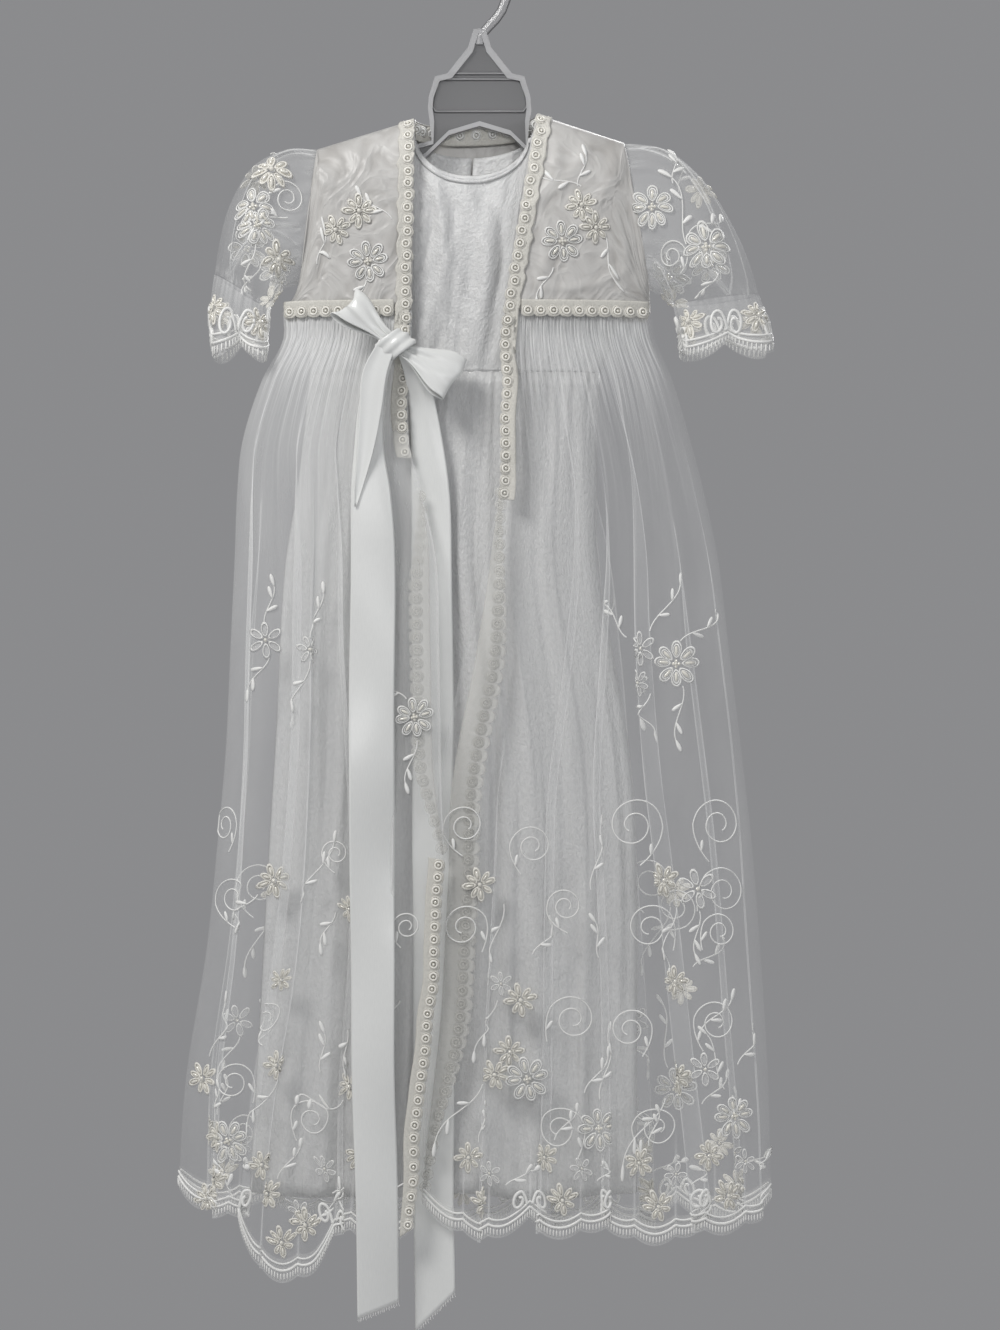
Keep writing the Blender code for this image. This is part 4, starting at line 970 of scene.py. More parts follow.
LEFT_UNITS, RIGHT_UNITS, BACK_UNITS = 3, 4, 7
LEFT_SEAMS, RIGHT_SEAMS, BOTH_SEAMS = (True, False), (False, True), (True, True)
left_parts = (-1.0, "front", left_edges, LEFT_HEM, LEFT_UNITS, LEFT_RIDGES, LEFT_SEAMS, 0.20, 1.1, 0.0055)
right_parts = (-1.0, "front", right_edges, RIGHT_HEM, RIGHT_UNITS, RIGHT_RIDGES, RIGHT_SEAMS, 0.28, 2.2, 0.0)
back_parts = (1.0, "back", back_edges, BACK_HEM, BACK_UNITS, BACK_RIDGES, BOTH_SEAMS, 0.50, 3.3, 0.0)
robe_left = robe_skirt(*left_parts, LEFT_PLEATS)
robe_right = robe_skirt(*right_parts, RIGHT_PLEATS)
robe_back = robe_skirt(*back_parts, BACK_PLEATS)


def turned_under(panel, edge_u, sign, v0, v1, width, behind=0.0016):
    """The strip of a front that is folded under along its open edge: u starts in the fold."""

    def surface(u, v):
        row = lerp(v0, v1, v)
        grown = smooth(0.15 + v * 3.0) * smooth(0.15 + (1.0 - v) * 3.0)
        edge = panel(np.full_like(u, edge_u), row)
        inner = panel(np.clip(edge_u + sign * u * width * grown, 0.0, 1.0), row)
        inner[:, 0] = edge[:, 0] + sign * 0.20 * u * width * grown
        inner[:, 1] += behind * np.sqrt(np.clip(u / 0.06, 0.0, 1.0)) + 0.0004 * uneven(v, 0.3, 2.0) * u
        return inner

    return surface


ROBE_SKIRTS = [
    ("robe_skirt_left", robe_left, 210, 100, (0.195, 0.600), -1.0, "robe_front_skirt_left"),
    ("robe_skirt_right", robe_right, 300, 100, (0.260, 0.600), -1.0, "robe_front_skirt_right"),
    ("robe_skirt_back", robe_back, 440, 90, (0.470, 0.600), 1.0, "robe_back_skirt"),
]
for name, surface, columns, rows, flat, side, node in ROBE_SKIRTS:
    dense = 0.55 if name.endswith("left") else 0.0
    piece = lay_out(name, surface, columns, rows, organza, flat, away_from_y(side), dense=dense)
    stand_for(piece, "organza", node)
    tell(piece, flat)

TURNED = [
    ("robe_fold_left", robe_left, 1.0, -1.0, 0.20, 0.60, 0.115, "robe_turned_edge_left"),
    ("robe_fold_right", robe_right, 0.0, 1.0, 0.20, 0.985, 0.165, "robe_turned_edge_right"),
]
for name, panel, edge_u, sign, v0, v1, width, node in TURNED:
    strip = turned_under(panel, edge_u, sign, v0, v1, width)
    piece = lay_out(name, strip, 24, 110, organza, (0.03, 0.58 * (v1 - v0)), away_from_y(-1.0))
    stand_for(piece, "organza", node)
    print(name, "area", round(area_of(piece), 4))

# %% [markdown]
# ## The robe's bodice
# Here the organza lies over a plain lining, so it is nearly opaque and its creases show as pale lines.
# The lining is never seen by itself, so it isn't a piece of its own: one sheet has a finish that looks
# like both layers.

# %% Lined organza
lined, tree, shader = finish("lined_organza", (0.72, 0.71, 0.695), 0.42, Sheen_Weight=0.15)
threads = noise(tree, stretched(tree, 900.0, 700.0), Scale=1.0, Detail=3.0, Roughness=0.6)
creasing = noise(tree, stretched(tree, 34.0, 24.0), Scale=1.0, Detail=2.5, Distortion=1.6)
from_middle = reckoned(tree, "ABSOLUTE", reckoned(tree, "SUBTRACT", creasing, 0.5))
lines = ranged(tree, from_middle, 0.0, 0.20, 1.0, 0.0)
weave = reckoned(tree, "MULTIPLY_ADD", threads, 0.35, lines)
coloured(tree, shader, weave, (0.44, 0.425, 0.405), (0.60, 0.59, 0.573))
bumped(tree, shader, lines, 0.5, 0.0016)

# %% Robe bodice
ROBE_ARMHOLE = 0.0150     # half an armhole's depth
ROBE_CHEST = 0.0185       # half the robe's depth at the chest
ROBE_CUT = 0.85           # what the armholes and neck leave of a panel's rectangle


def open_top(shoulder, flipped, tip_u=0.42):
    """Top edge of an open front: the armhole, then the shoulder seam to the neck."""

    def top(u):
        share = 1.0 - u if flipped else u
        points = np.empty((len(u), 3))
        hole = share <= tip_u
        points[hole] = armhole(shoulder, ROBE_ARMHOLE, share[hole] / tip_u, -1.0)
        points[~hole] = shoulder_line(shoulder, (share[~hole] - tip_u) / (1.0 - tip_u), -1.0)
        return points

    return top


LEFT_CREASES = [
    Crease(-0.075, -0.140, 118, 0.030, 0.0040, 0.0014),
    Crease(-0.098, -0.160, 108, 0.034, 0.0050, 0.0016),
    Crease(-0.060, -0.170, 98, 0.040, 0.0040, 0.0012),
    Crease(-0.108, -0.190, 80, 0.026, 0.0040, 0.0014),
    Crease(-0.085, -0.212, 92, 0.014, 0.0030, 0.0010),
    Crease(-0.070, -0.215, 84, 0.012, 0.0026, 0.0009),
]
RIGHT_CREASES = [
    Crease(0.062, -0.132, 60, 0.034, 0.0050, 0.0018),
    Crease(0.078, -0.150, 66, 0.034, 0.0045, 0.0017),
    Crease(0.044, -0.140, 70, 0.030, 0.0040, 0.0012),
    Crease(0.060, -0.214, 8, 0.036, 0.0028, 0.0011),
    Crease(0.090, -0.190, 100, 0.024, 0.0045, 0.0013),
    Crease(0.040, -0.190, 84, 0.030, 0.0035, 0.0010),
]
BACK_CREASES = LEFT_CREASES[:4] + RIGHT_CREASES[:3] + [Crease(-0.012, -0.170, 90, 0.040, 0.006, 0.0012)]
left_top, right_top = open_top(ROBE_LEFT, False), open_top(ROBE_RIGHT, True)
back_top = whole_top(ROBE_LEFT, ROBE_RIGHT, ROBE_ARMHOLE, 0.0040, 0.0150, 1.0)
body_left = bodice(left_top, seam_above(robe_left), -1.0, ROBE_CHEST, LEFT_CREASES, 3.0, 0.0007)
body_right = bodice(right_top, seam_above(robe_right), -1.0, ROBE_CHEST, RIGHT_CREASES, 4.0, 0.0007)
body_back = bodice(back_top, seam_above(robe_back), 1.0, ROBE_CHEST, BACK_CREASES, 5.0, 0.0007)
ROBE_BODIES = [
    ("robe_bodice_left", body_left, 70, 70, (0.105, 0.135), -1.0, "robe_front_bodice_left"),
    ("robe_bodice_right", body_right, 70, 70, (0.105, 0.135), -1.0, "robe_front_bodice_right"),
    ("robe_bodice_back", body_back, 120, 60, (0.245, 0.135), 1.0, "robe_back_bodice"),
]
for name, surface, columns, rows, flat, side, node in ROBE_BODIES:
    piece = lay_out(name, surface, columns, rows, lined, flat, away_from_y(side), 0.0007)
    stand_for(piece, "organza", node)
    tell(piece, flat, 2, ROBE_CUT)

# %% [markdown]
# ## Puffed sleeves and their cuffs
# A puffed sleeve is a tube that is gathered into the armhole and again into the lace cuff, so it is
# fullest between them.  A tube inflated by a simulation would be too round for a sleeve that hangs
# flat, so it is laid out as flattened rings round the arm, with puckers that run in from both gathered
# ends.  The cuff flares below it and ends in scallops.

# %% Sleeves
LEFT_SLEEVE = [
    Ring(-0.1075, -0.1222, -0.1212, -0.2092, 0.0143),
    Ring(-0.1290, -0.1215, -0.1295, -0.2108, 0.0205),
    Ring(-0.1500, -0.1340, -0.1335, -0.2150, 0.0255),
    Ring(-0.1655, -0.1610, -0.1360, -0.2185, 0.0265),
    Ring(-0.1730, -0.1860, -0.1388, -0.2215, 0.0235),
    Ring(-0.1755, -0.2030, -0.1405, -0.2243, 0.0185),
]
RIGHT_SLEEVE = [
    Ring(0.0882, -0.1180, 0.1046, -0.2117, 0.0143),
    Ring(0.1170, -0.1225, 0.1110, -0.2145, 0.0205),
    Ring(0.1420, -0.1430, 0.1150, -0.2170, 0.0255),
    Ring(0.1620, -0.1760, 0.1180, -0.2190, 0.0265),
    Ring(0.1735, -0.2020, 0.1210, -0.2210, 0.0235),
    Ring(0.1775, -0.2160, 0.1225, -0.2230, 0.0185),
]
LEFT_CUFF = [
    Ring(-0.1758, -0.2036, -0.1408, -0.2249, 0.0185),
    Ring(-0.1795, -0.2290, -0.1410, -0.2395, 0.0205),
    Ring(-0.1775, -0.2490, -0.1410, -0.2480, 0.0215),
]
RIGHT_CUFF = [
    Ring(0.1779, -0.2167, 0.1227, -0.2237, 0.0185),
    Ring(0.1840, -0.2330, 0.1250, -0.2380, 0.0205),
    Ring(0.1875, -0.2455, 0.1270, -0.2480, 0.0215),
]
Step = namedtuple("Step", "at outer_x outer_z inner_x inner_z depth")
SLEEVE_FOLDS = 6


def rings_at(rings, v):
    """Sections of a sleeve at any share of its length."""
    steps = [Step(number / (len(rings) - 1), *ring) for number, ring in enumerate(rings)]
    return [read(steps, column, v, "at") for column in Step._fields[1:]]


def round_arm(rings, u, v, puff):
    """Places on a sleeve's rings, puffed out a little in depth and across."""
    outer_x, outer_z, inner_x, inner_z, depth = rings_at(rings, v)
    turn = TURN * u
    along = (1.0 - np.cos(turn)) / 2.0
    along = along + puff * np.cos(turn) * 0.5
    x = lerp(outer_x, inner_x, along)
    z = lerp(outer_z, inner_z, along)
    return np.stack([x, -(depth - puff * 0.05) * np.sin(turn), z], axis=1)


def sleeve(rings, seed, folded=True):
    """Surface of a sleeve: u goes round the arm, v from the armhole to the cuff."""

    def surface(u, v):
        roll = np.sin(TURN * (3 * u + 0.9 * v) + seed)
        roll = roll + 0.7 * np.sin(TURN * (5 * u - 1.3 * v) + 2 * seed)
        puff = 0.030 * roll * np.sin(np.pi * v)
        turn = u.copy()
        if folded:
            ends = np.exp(-v / 0.10) + np.exp(-(1.0 - v) / 0.09)
            pucker = (np.sin(TURN * 17 * u + seed) + 0.6 * np.sin(TURN * 29 * u + 2 * seed)) * ends
            puff = puff + 0.020 * pucker * smooth(v / 0.05) * smooth((1.0 - v) / 0.05)
            for number in range(SLEEVE_FOLDS):
                middle = (number + 0.6) / SLEEVE_FOLDS + 0.03 * math.sin(5.0 * number + seed)
                middle = middle + 0.16 * (v - 0.5) * math.cos(3.0 * number)
                place = (u - middle) / 0.0060
                grown = 0.6 + 0.4 * math.sin(2.0 * number + seed)
                grown = grown * smooth(v / 0.2) * smooth((1.1 - v) / 0.3)
                turn -= 0.014 * grown * (np.tanh(place) - (2.0 * u - 1.0))
                puff = puff + 0.05 * grown * place * np.exp(-place * place / 6.0)
        return round_arm(rings, turn, v, puff)

    return surface


CUFF_SCALLOPS = 4
CUFF_DROP = 0.0105


def cuff(rings, seed):
    """Surface of a cuff, wavy towards its scalloped edge."""

    def surface(u, v):
        wave = np.abs(np.sin(np.pi * CUFF_SCALLOPS * u))
        flutter = 0.12 * np.sin(TURN * 4 * u + seed) * smooth(v)
        flutter = flutter + 0.012 * np.sin(TURN * 17 * u + seed) * (1.0 - v) ** 2
        point = round_arm(rings, u, v, flutter)
        point[:, 2] -= CUFF_DROP * wave * smooth((v - 0.35) / 0.65)
        return point

    return surface


def away_from(middle):
    """Outward on a closed shape about its middle."""
    return lambda centre: (centre - middle).normalized()


def weld():
    """Join the two edges of a tube along the arm."""
    bpy.ops.mesh.remove_doubles(threshold=0.00001)


SLEEVE, CUFF = (0.20, 0.085), (0.125, 0.042)
sleeves = {}
ARMS = [("left", LEFT_SLEEVE, LEFT_CUFF, 1.0), ("right", RIGHT_SLEEVE, RIGHT_CUFF, 2.0)]
for word, rings, ends, seed in ARMS:
    for kind, surface, plain, rows, flat, node in (
        ("sleeve", sleeve(rings, seed), sleeve(rings, seed, False), 52, SLEEVE, "robe_sleeve_" + word),
        ("cuff", cuff(ends, seed), cuff(ends, seed), 24, CUFF, "robe_cuff_lace_" + word),
    ):
        low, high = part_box(node)
        outward = away_from((low + high) / 2)
        name = "robe_" + kind + "_cloth_" + word
        piece = lay_out(name, surface, 200, rows, organza, flat, outward, dense=0.32)
        in_edit_mode(piece, weld)
        stand_for(piece, "organza", node)
        sleeves[kind, word] = Panel(plain, -1.0, tube=True)
        tell(piece, flat)

# %% [markdown]
# ## Small things are modelled once
# Petals, pearls, leaves, rings and fringe threads repeat hundreds of times.  Each is modelled once, flat
# and small, from plain primitives, then read into a short list of points and faces.  A copy is that list
# laid on the cloth at its place, true to size, and the copies on one panel are joined into one mesh.
# In a shape, x is to the right along the cloth, y is out from it and z is up along it.

# %% Shapes
Shape = namedtuple("Shape", "points faces finishes")


def taken(piece, finish_number):
    """Read a modelled piece into a shape, and clear the piece away."""
    bpy.ops.object.transform_apply(location=True, rotation=True, scale=True)
    points = np.array([corner.co for corner in piece.data.vertices])
    faces = [tuple(face.vertices) for face in piece.data.polygons]
    bpy.data.objects.remove(piece)
    return Shape(points, faces, [finish_number] * len(faces))


def together(shapes):
    """Several shapes as one."""
    points, faces, finishes, start = [], [], [], 0
    for shape in shapes:
        points.append(shape.points)
        faces += [tuple(corner + start for corner in face) for face in shape.faces]
        finishes += shape.finishes
        start += len(shape.points)
    return Shape(np.concatenate(points), faces, finishes)


def moved(shape, right=0.0, out=0.0, up=0.0, turn=0.0, size=1.0):
    """A copy, turned on the cloth (degrees), then moved."""
    angle = math.radians(turn)
    x, y, z = shape.points.T * size
    x, z = x * math.cos(angle) - z * math.sin(angle), x * math.sin(angle) + z * math.cos(angle)
    return Shape(np.stack([x + right, y + out, z + up], axis=1), shape.faces, shape.finishes)


def narrowed(shape, low):
    """A copy whose lower end is narrower than its upper end."""
    points = shape.points.copy()
    height = (points[:, 2] - points[:, 2].min()) / np.ptp(points[:, 2])
    points[:, 0] *= low + (1.0 - low) * np.sqrt(height)
    return Shape(points, shape.faces, shape.finishes)


def grain_of(across, deep, tall, up, finish_number, segments=8, rings=5):
    """A rice-shaped grain, standing up on the cloth's height axis."""
    bpy.ops.mesh.primitive_uv_sphere_add(
        segments=segments, ring_count=rings, radius=1.0, location=(0.0, deep, up), scale=(across, deep, tall)
    )
    return taken(bpy.context.object, finish_number)


def loop_of(across, tall, up, thick, finish_number, segments=14, sides=4):
    """An oval loop of cord."""
    bpy.ops.mesh.primitive_torus_add(
        major_segments=segments, minor_segments=sides, major_radius=across, minor_radius=thick,
        location=(0.0, thick, up), rotation=(math.radians(90), 0.0, 0.0),
    )
    piece = bpy.context.object
    piece.scale = (1.0, tall / across, 1.0)
    return taken(piece, finish_number)


def face_outwards():
    bpy.ops.mesh.normals_make_consistent(inside=False)


def triangles_in(shape):
    return sum(len(face) - 2 for face in shape.faces)


def sewn(name, shapes, slot, *nodes):
    """Join shapes that are already at their places into one piece of the gown."""
    whole = together(shapes)
    mesh = bpy.data.meshes.new(name)
    mesh.from_pydata(whole.points.tolist(), [], whole.faces)
    used = sorted(set(whole.finishes))
    for number in used:
        mesh.materials.append(FINISHES[number])
    mesh.polygons.foreach_set("material_index", [used.index(number) for number in whole.finishes])
    piece = bpy.data.objects.new(name, mesh)
    bpy.context.collection.objects.link(piece)
    in_edit_mode(piece, face_outwards)
    mesh.shade_smooth()
    stand_for(piece, slot, *nodes)
    print(name, len(shapes), "things,", triangles_in(whole), "triangles")


def cords(paths, thick, finish_number):
    """Cords along lists of places, drawn as one curve with a round section and turned to a mesh."""
    drawing = bpy.data.curves.new("cords", "CURVE")
    drawing.dimensions = "3D"
    drawing.bevel_depth = thick
    drawing.bevel_resolution = 0
    drawing.use_fill_caps = True
    for path in paths:
        spline = drawing.splines.new("POLY")
        spline.points.add(len(path) - 1)
        spline.points.foreach_set("co", np.column_stack([path, np.ones(len(path))]).ravel())
    holder = bpy.data.objects.new("cords", drawing)
    bpy.context.collection.objects.link(holder)
    bpy.context.view_layer.objects.active = holder
    holder.select_set(True)
    bpy.ops.object.convert(target="MESH")
    return taken(bpy.context.object, finish_number)


# %% Ring for the lace trims
def pearl_ring():
    ring = loop_of(0.0023, 0.0023, 0.0, 0.00078, CREAM, 12, 4)
    picot = loop_of(0.0036, 0.0036, 0.0, 0.00036, LACE, 12, 3)
    return together([ring, picot, grain_of(0.00105, 0.0010, 0.00105, 0.0, PEARL, 6, 4)])


ring = pearl_ring()
fringe = grain_of(0.00036, 0.0003, 0.0019, 0.0, WHITE, 4, 3)
print("ring", triangles_in(ring), "triangles, fringe thread", triangles_in(fringe))

# %% [markdown]
# ## Raised lines on the hanger
# The hanger is one moulding, and the solid's own shape stays, with its plastic finish.  The thin web has
# a raised line round its window and one above it, on both faces.  They are as thin as cords, so they are
# drawn as cords and sunk halfway into the web.

# %% Hanger ribs
FINISHES.append(plastic)
HANGER_MIDDLE = -0.0035
WINDOW = [
    (-0.0255, -0.0765), (0.0255, -0.0765), (0.0285, -0.0800), (0.0312, -0.0935), (0.0285, -0.0975),
    (-0.0285, -0.0975), (-0.0312, -0.0935), (-0.0285, -0.0800), (-0.0255, -0.0765),
]
LINE_ABOVE = [(-0.0200, -0.0728), (0.0200, -0.0728)]
ribs = []
for face in (-WEB_FACE, WEB_FACE):
    for line in (WINDOW, LINE_ABOVE):
        ribs.append([(HANGER_MIDDLE + x, face, z) for x, z in line])
sewn("hanger_ribs", [cords(ribs, 0.0011, FINISHES.index(plastic))], "hanger_plastic")

# %% [markdown]
# ## Ring-lace trims
# The trim is a cream band with a corded braid along one side and a row of rings, each with a small
# pearl, along the other, whose edge is scalloped round them.  The band could be bent along a curve, but
# it is sewn to the cloth, so it is laid on the panel's own surface and stands a little proud of it.

# %% Trims: a band laid along a spine, then its rings
RING_STEP = 0.0084
RINGS_AT = 0.62           # where the rings' middles lie across the band, from its braid


def trim(name, spine, length, *nodes, faint=False):
    """Make a trim from spine(u, v): u runs from its braid (0) to its rings (1), v along it.

    spine gives places and outward directions."""
    rings = max(2, round(length / RING_STEP))

    def band(u, v):
        scallop = np.sqrt(np.clip(1.0 - (2.0 * ((v * rings) % 1.0) - 1.0) ** 2, 0.0, 1.0))
        across = u * lerp(0.84, 1.0, scallop)
        places, out = spine(across, v)
        braid = np.exp(-(((across - 0.07) / 0.05) ** 2)) + np.exp(-(((across - 0.24) / 0.05) ** 2))
        braid = braid + 0.6 * np.exp(-(((u - 0.96) / 0.04) ** 2))
        lumps = 0.5 + 0.5 * np.sin(TURN * v * rings * 3.0 + 9.0 * across)
        hollow = np.exp(-(((across - RINGS_AT) / 0.16) ** 2)) * scallop ** 3
        return places + out * (0.00045 + 0.0007 * braid * lerp(0.25, 1.0, lumps) - 0.0010 * hollow)[:, None]

    # except on the faint folded trims, the ground gets the darker finish: painted shade round the rings
    ground = faint_lace if faint else shaded_lace_ground
    base = lay_out(name, band, 10, rings * 8, ground, (TRIM_WIDTH, length), away_from_y(-1.0), 0.0005)
    stand_for(base, "lace", *nodes)
    # The neck trim's rings take the whiter thread instead of cream: painted light, for the light from above
    # that falls on the trim inside the neck.
    finishes = ring.finishes
    if faint:
        finishes = [FAINT] * len(ring.faces)
    elif name.endswith("neck"):
        finishes = [WHITE] * len(ring.faces)
    laid = []
    for number in range(rings):
        spots, outs = spine(np.array([RINGS_AT, RINGS_AT + 0.05]), np.full(2, (number + 0.5) / rings))
        right, out = spots[1] - spots[0], outs[0]
        right /= np.linalg.norm(right)
        up = np.cross(right, out)
        points = spots[0] + out * 0.0004 + ring.points @ np.stack([right, out, up])
        laid.append(Shape(points, ring.faces, finishes))
    sewn(name + "_rings", laid, "lace")


def along_front(panel, edge_u, sign, v0, v1, tucked=False):
    """Spine of a trim down an open front, whose lower end may be tucked behind the cloth."""

    def spine(u, v):
        row = lerp(v0, v1, v)
        edge = np.full_like(u, edge_u)
        near = panel.surface(edge + sign * 0.03, row) - panel.surface(edge, row)
        reach = np.linalg.norm(near, axis=1) / 0.03
        us = edge + sign * (1.0 - u) * TRIM_WIDTH / reach
        out = panel.out(us, row)
        sunk = 0.0026 * smooth((v - 0.70) / 0.20) if tucked else 0.0 * v
        sway = 0.0009 * uneven(row, 0.11, edge_u + 3.0)
        places = panel.on(us, row, 0.0006) - out * sunk[:, None]
        places[:, 0] += sway
        return places, out

    return spine


def length_of(spine):
    places = spine(np.full(200, 0.5), np.linspace(0.0, 1.0, 200))[0]
    return float(np.linalg.norm(np.diff(places, axis=0), axis=1).sum())


def stretch_of(pleats):
    """How much wider a pleated panel's cloth is than the panel."""
    return 1.0 + 2.0 * sum(pleat.lap for pleat in pleats)


on_left = Panel(robe_left, -1.0, robe_skirt(*left_parts, []), stretch_of(LEFT_PLEATS))
on_right = Panel(robe_right, -1.0, robe_skirt(*right_parts, []), stretch_of(RIGHT_PLEATS))
on_back = Panel(robe_back, 1.0, robe_skirt(*back_parts, []), stretch_of(BACK_PLEATS))
on_body_left = Panel(body_left, -1.0)
on_body_right = Panel(body_right, -1.0)
on_body_back = Panel(body_back, 1.0)


def one_after(first, second, share):
    """A spine that runs down one panel and on down the next."""

    def spine(u, v):
        upper = v < share
        high, high_out = first(u, np.clip(v / share, 0.0, 1.0))
        low, low_out = second(u, np.clip((v - share) / (1.0 - share), 0.0, 1.0))
        return np.where(upper[:, None], high, low), np.where(upper[:, None], high_out, low_out)

    return spine


def around_waist(x0, x1, side):
    """Spine of a trim along the waist seam, rings downward."""

    def spine(u, v):
        x = lerp(x0, x1, v)
        z = ROBE_WAIST_Z + 0.0055 - 0.0110 * u
        seam_x = np.where(x < MID_X, read(ROBE, "left", z), read(ROBE, "right", z))
        depth = read(ROBE, "front" if side < 0 else "back", z) * bulge((x - seam_x) / (MID_X - seam_x))
        places = np.stack([x, side * (SEAM + depth + 0.0016 + 0.0003 * uneven(x, 0.021, 1.0)), z], axis=1)
        out = np.stack([(x - MID_X) * 3.0, np.full_like(x, side), 0.0 * x], axis=1)
        return places, out / np.linalg.norm(out, axis=1)[:, None]

    return spine


def around_neck(u, v):
    """Spine of the back neck's trim, which stands up above the neck edge."""
    edge = np.full_like(v, 0.0)
    across = lerp(NECK_START, NECK_END, v)
    places = body_back(across, edge)
    places[:, 2] += lerp(-0.0125, -0.0020, u)
    places[:, 1] -= lerp(0.0010, 0.0065, u)
    return places, np.stack([0.0 * v, np.full_like(v, -1.0), 0.0 * v], axis=1)


front_left = one_after(
    along_front(on_body_left, 1.0, -1.0, 0.0, 1.0), along_front(on_left, 1.0, -1.0, 0.003, 0.165, True), 0.57
)
front_right = one_after(
    along_front(on_body_right, 0.0, 1.0, 0.0, 1.0), along_front(on_right, 0.0, 1.0, 0.003, 0.215, True), 0.51
)
TRIMS = [
    ("ring_trim_left", front_left, "trim_front_left"),
    ("ring_trim_right", front_right, "trim_front_right"),
    ("ring_trim_left_low", along_front(on_left, 1.0, -1.0, 0.605, 0.998), "trim_front_left_low"),
    ("ring_trim_neck", around_neck, "trim_neck_back"),
    ("ring_trim_waist_left", around_waist(-0.1300, -0.0585, -1.0), "trim_waist_left"),
    ("ring_trim_waist_right", around_waist(0.0235, 0.1060, -1.0), "trim_waist_right"),
    ("ring_trim_waist_back", around_waist(-0.1300, 0.1060, 1.0), "trim_waist_back"),
]
for name, spine, node in TRIMS:
    trim(name, spine, length_of(spine), node)


def on_fold(strip):
    """Spine of the trim where it is folded under with the cloth's edge."""

    def spine(u, v):
        places = strip(lerp(0.25, 0.85, u), v)
        out = np.stack([0.0 * v, np.full_like(v, -1.0), 0.0 * v], axis=1)
        return places - out * 0.0006, out

    return spine


for name, panel, edge_u, sign, v0, v1, width, node in TURNED:
    spine = on_fold(turned_under(panel, edge_u, sign, v0, v1, width))
    trim(name.replace("fold", "fold_trim"), spine, length_of(spine), faint=True)

# %% [markdown]
# ## Lace borders of the hem and the cuffs
# The border is part of the embroidered cloth: a whiter net, edged with two thick cords that swing down
# in scallops, and a fringe of short straight stitches below them.  Where two units meet, the cords curl
# up into a pair of scrolls.  Cords and stitches could be an image on the cloth, but they are thick
# enough to cast shadows, so they are modelled, and follow the cloth's edge wherever its pleats take it.

# %% One border
BORDER = 0.0125           # how tall the hem's net is
CORD_THICK = 0.00062
FRINGE_STEP = 0.0021
OUTER_CORD, INNER_CORD = 0.0046, 0.0068    # how far up from the cloth's edge the cords run
FRINGE_UP = 0.0024
SCROLL_SIZE = 0.0033


def edge_walk(panel, step):
    """Shares u at even steps along the cloth's lower edge."""
    fine = np.linspace(0.0015, 0.9985, 6000)
    places = panel.surface(fine, np.full_like(fine, 0.996))
    gone = np.concatenate([[0.0], np.cumsum(np.linalg.norm(np.diff(places, axis=0), axis=1))])
    return np.interp(np.arange(0.0, gone[-1], step), gone, fine)


def scroll(size, hand, turns=1.25):
    """A C-shaped scroll, from its foot to its curled end."""
    angle = np.linspace(0.0, TURN * turns, 30)
    radius = size * (1.0 - 0.70 * angle / angle[-1])
    x = hand * (size - radius * np.cos(angle))
    return np.stack([x, np.zeros_like(x), radius * np.sin(angle)], axis=1)


def border(panel, height, units, tube=False, step=FRINGE_STEP, bold=1.5):
    """Cords, fringe and scrolls along one lower edge, as shapes at their places.

    height is the panel's, from its seam to its edge.  bold makes all of it heavier than the sizes above."""
    laid = []
    us = edge_walk(panel, 0.0014)
    for up, thick in ((OUTER_CORD, 1.0), (INNER_CORD, 0.8)):
        path = panel.on(us, np.full_like(us, 1.0 - up * bold / height), 0.0006)
        laid.append(cords([path], CORD_THICK * thick * bold, WHITE))
    fringe_v = 1.0 - FRINGE_UP * bold / height
    for u in edge_walk(panel, step):
        laid.append(Shape(panel.cover(u, fringe_v, fringe.points * bold), fringe.faces, fringe.finishes))
    tops = []
    for unit in range(0 if tube else 1, units):
        for hand in (-1.0, 1.0):
            path = scroll(SCROLL_SIZE * bold, hand)
            path[:, 0] += hand * 0.0006
            path[:, 2] = 1.2 * path[:, 2] + 0.0045 * smooth(np.arange(len(path)) / 5.0)
            foot_v = 1.0 - INNER_CORD * bold / height
            tops.append(panel.cover(unit / units + hand * 0.004, foot_v, path, 0.0007))
    laid.append(cords(tops, CORD_THICK * 1.15 * bold, WHITE))
    return laid


def border_net(name, panel, height, columns, width, flat_length):
    """The whiter net of a border: a strip just outside the cloth."""

    def net(u, v):
        return panel.on(u, 1.0 - (1.0 - v) * width / height, 0.00025)

    return lay_out(name, net, columns, 8, veil, (flat_length, width), away_from_y(panel.side))


def add_to(piece, *others):
    """Join modelled pieces into one."""
    for other in others:
        other.select_set(True)
    piece.select_set(True)
    bpy.context.view_layer.objects.active = piece
    bpy.ops.object.join()
    piece.select_set(False)


SKIRT_TALL, CUFF_TALL = 0.585, 0.040    # from seam to edge
HEMS = [
    ("hem_lace_left", on_left, LEFT_UNITS, 240, 0.195, "robe_hem_lace_left"),
    ("hem_lace_right", on_right, RIGHT_UNITS, 340, 0.260, "robe_hem_lace_right"),
    ("hem_lace_back", on_back, BACK_UNITS, 520, 0.470, "robe_hem_lace_back"),
]
for name, panel, units, columns, length, node in HEMS:
    sewn(name + "_cords", border(panel, SKIRT_TALL, units), "lace")
    net = border_net(name, panel, SKIRT_TALL, columns, BORDER, length)
    stand_for(net, "lace", node)
    tell(net, (length, BORDER))

CUFF_LACE = (0.130, 0.014)
for word in ("left", "right"):
    panel = sleeves["cuff", word]
    sewn("cuff_cords_" + word, border(panel, CUFF_TALL, CUFF_SCALLOPS, True, 0.0030, 1.75), "lace")
    net = border_net("cuff_lace_" + word, panel, CUFF_TALL, 220, CUFF_LACE[1], CUFF_LACE[0])
    stand_for(net, "lace")
    tell(net, CUFF_LACE)

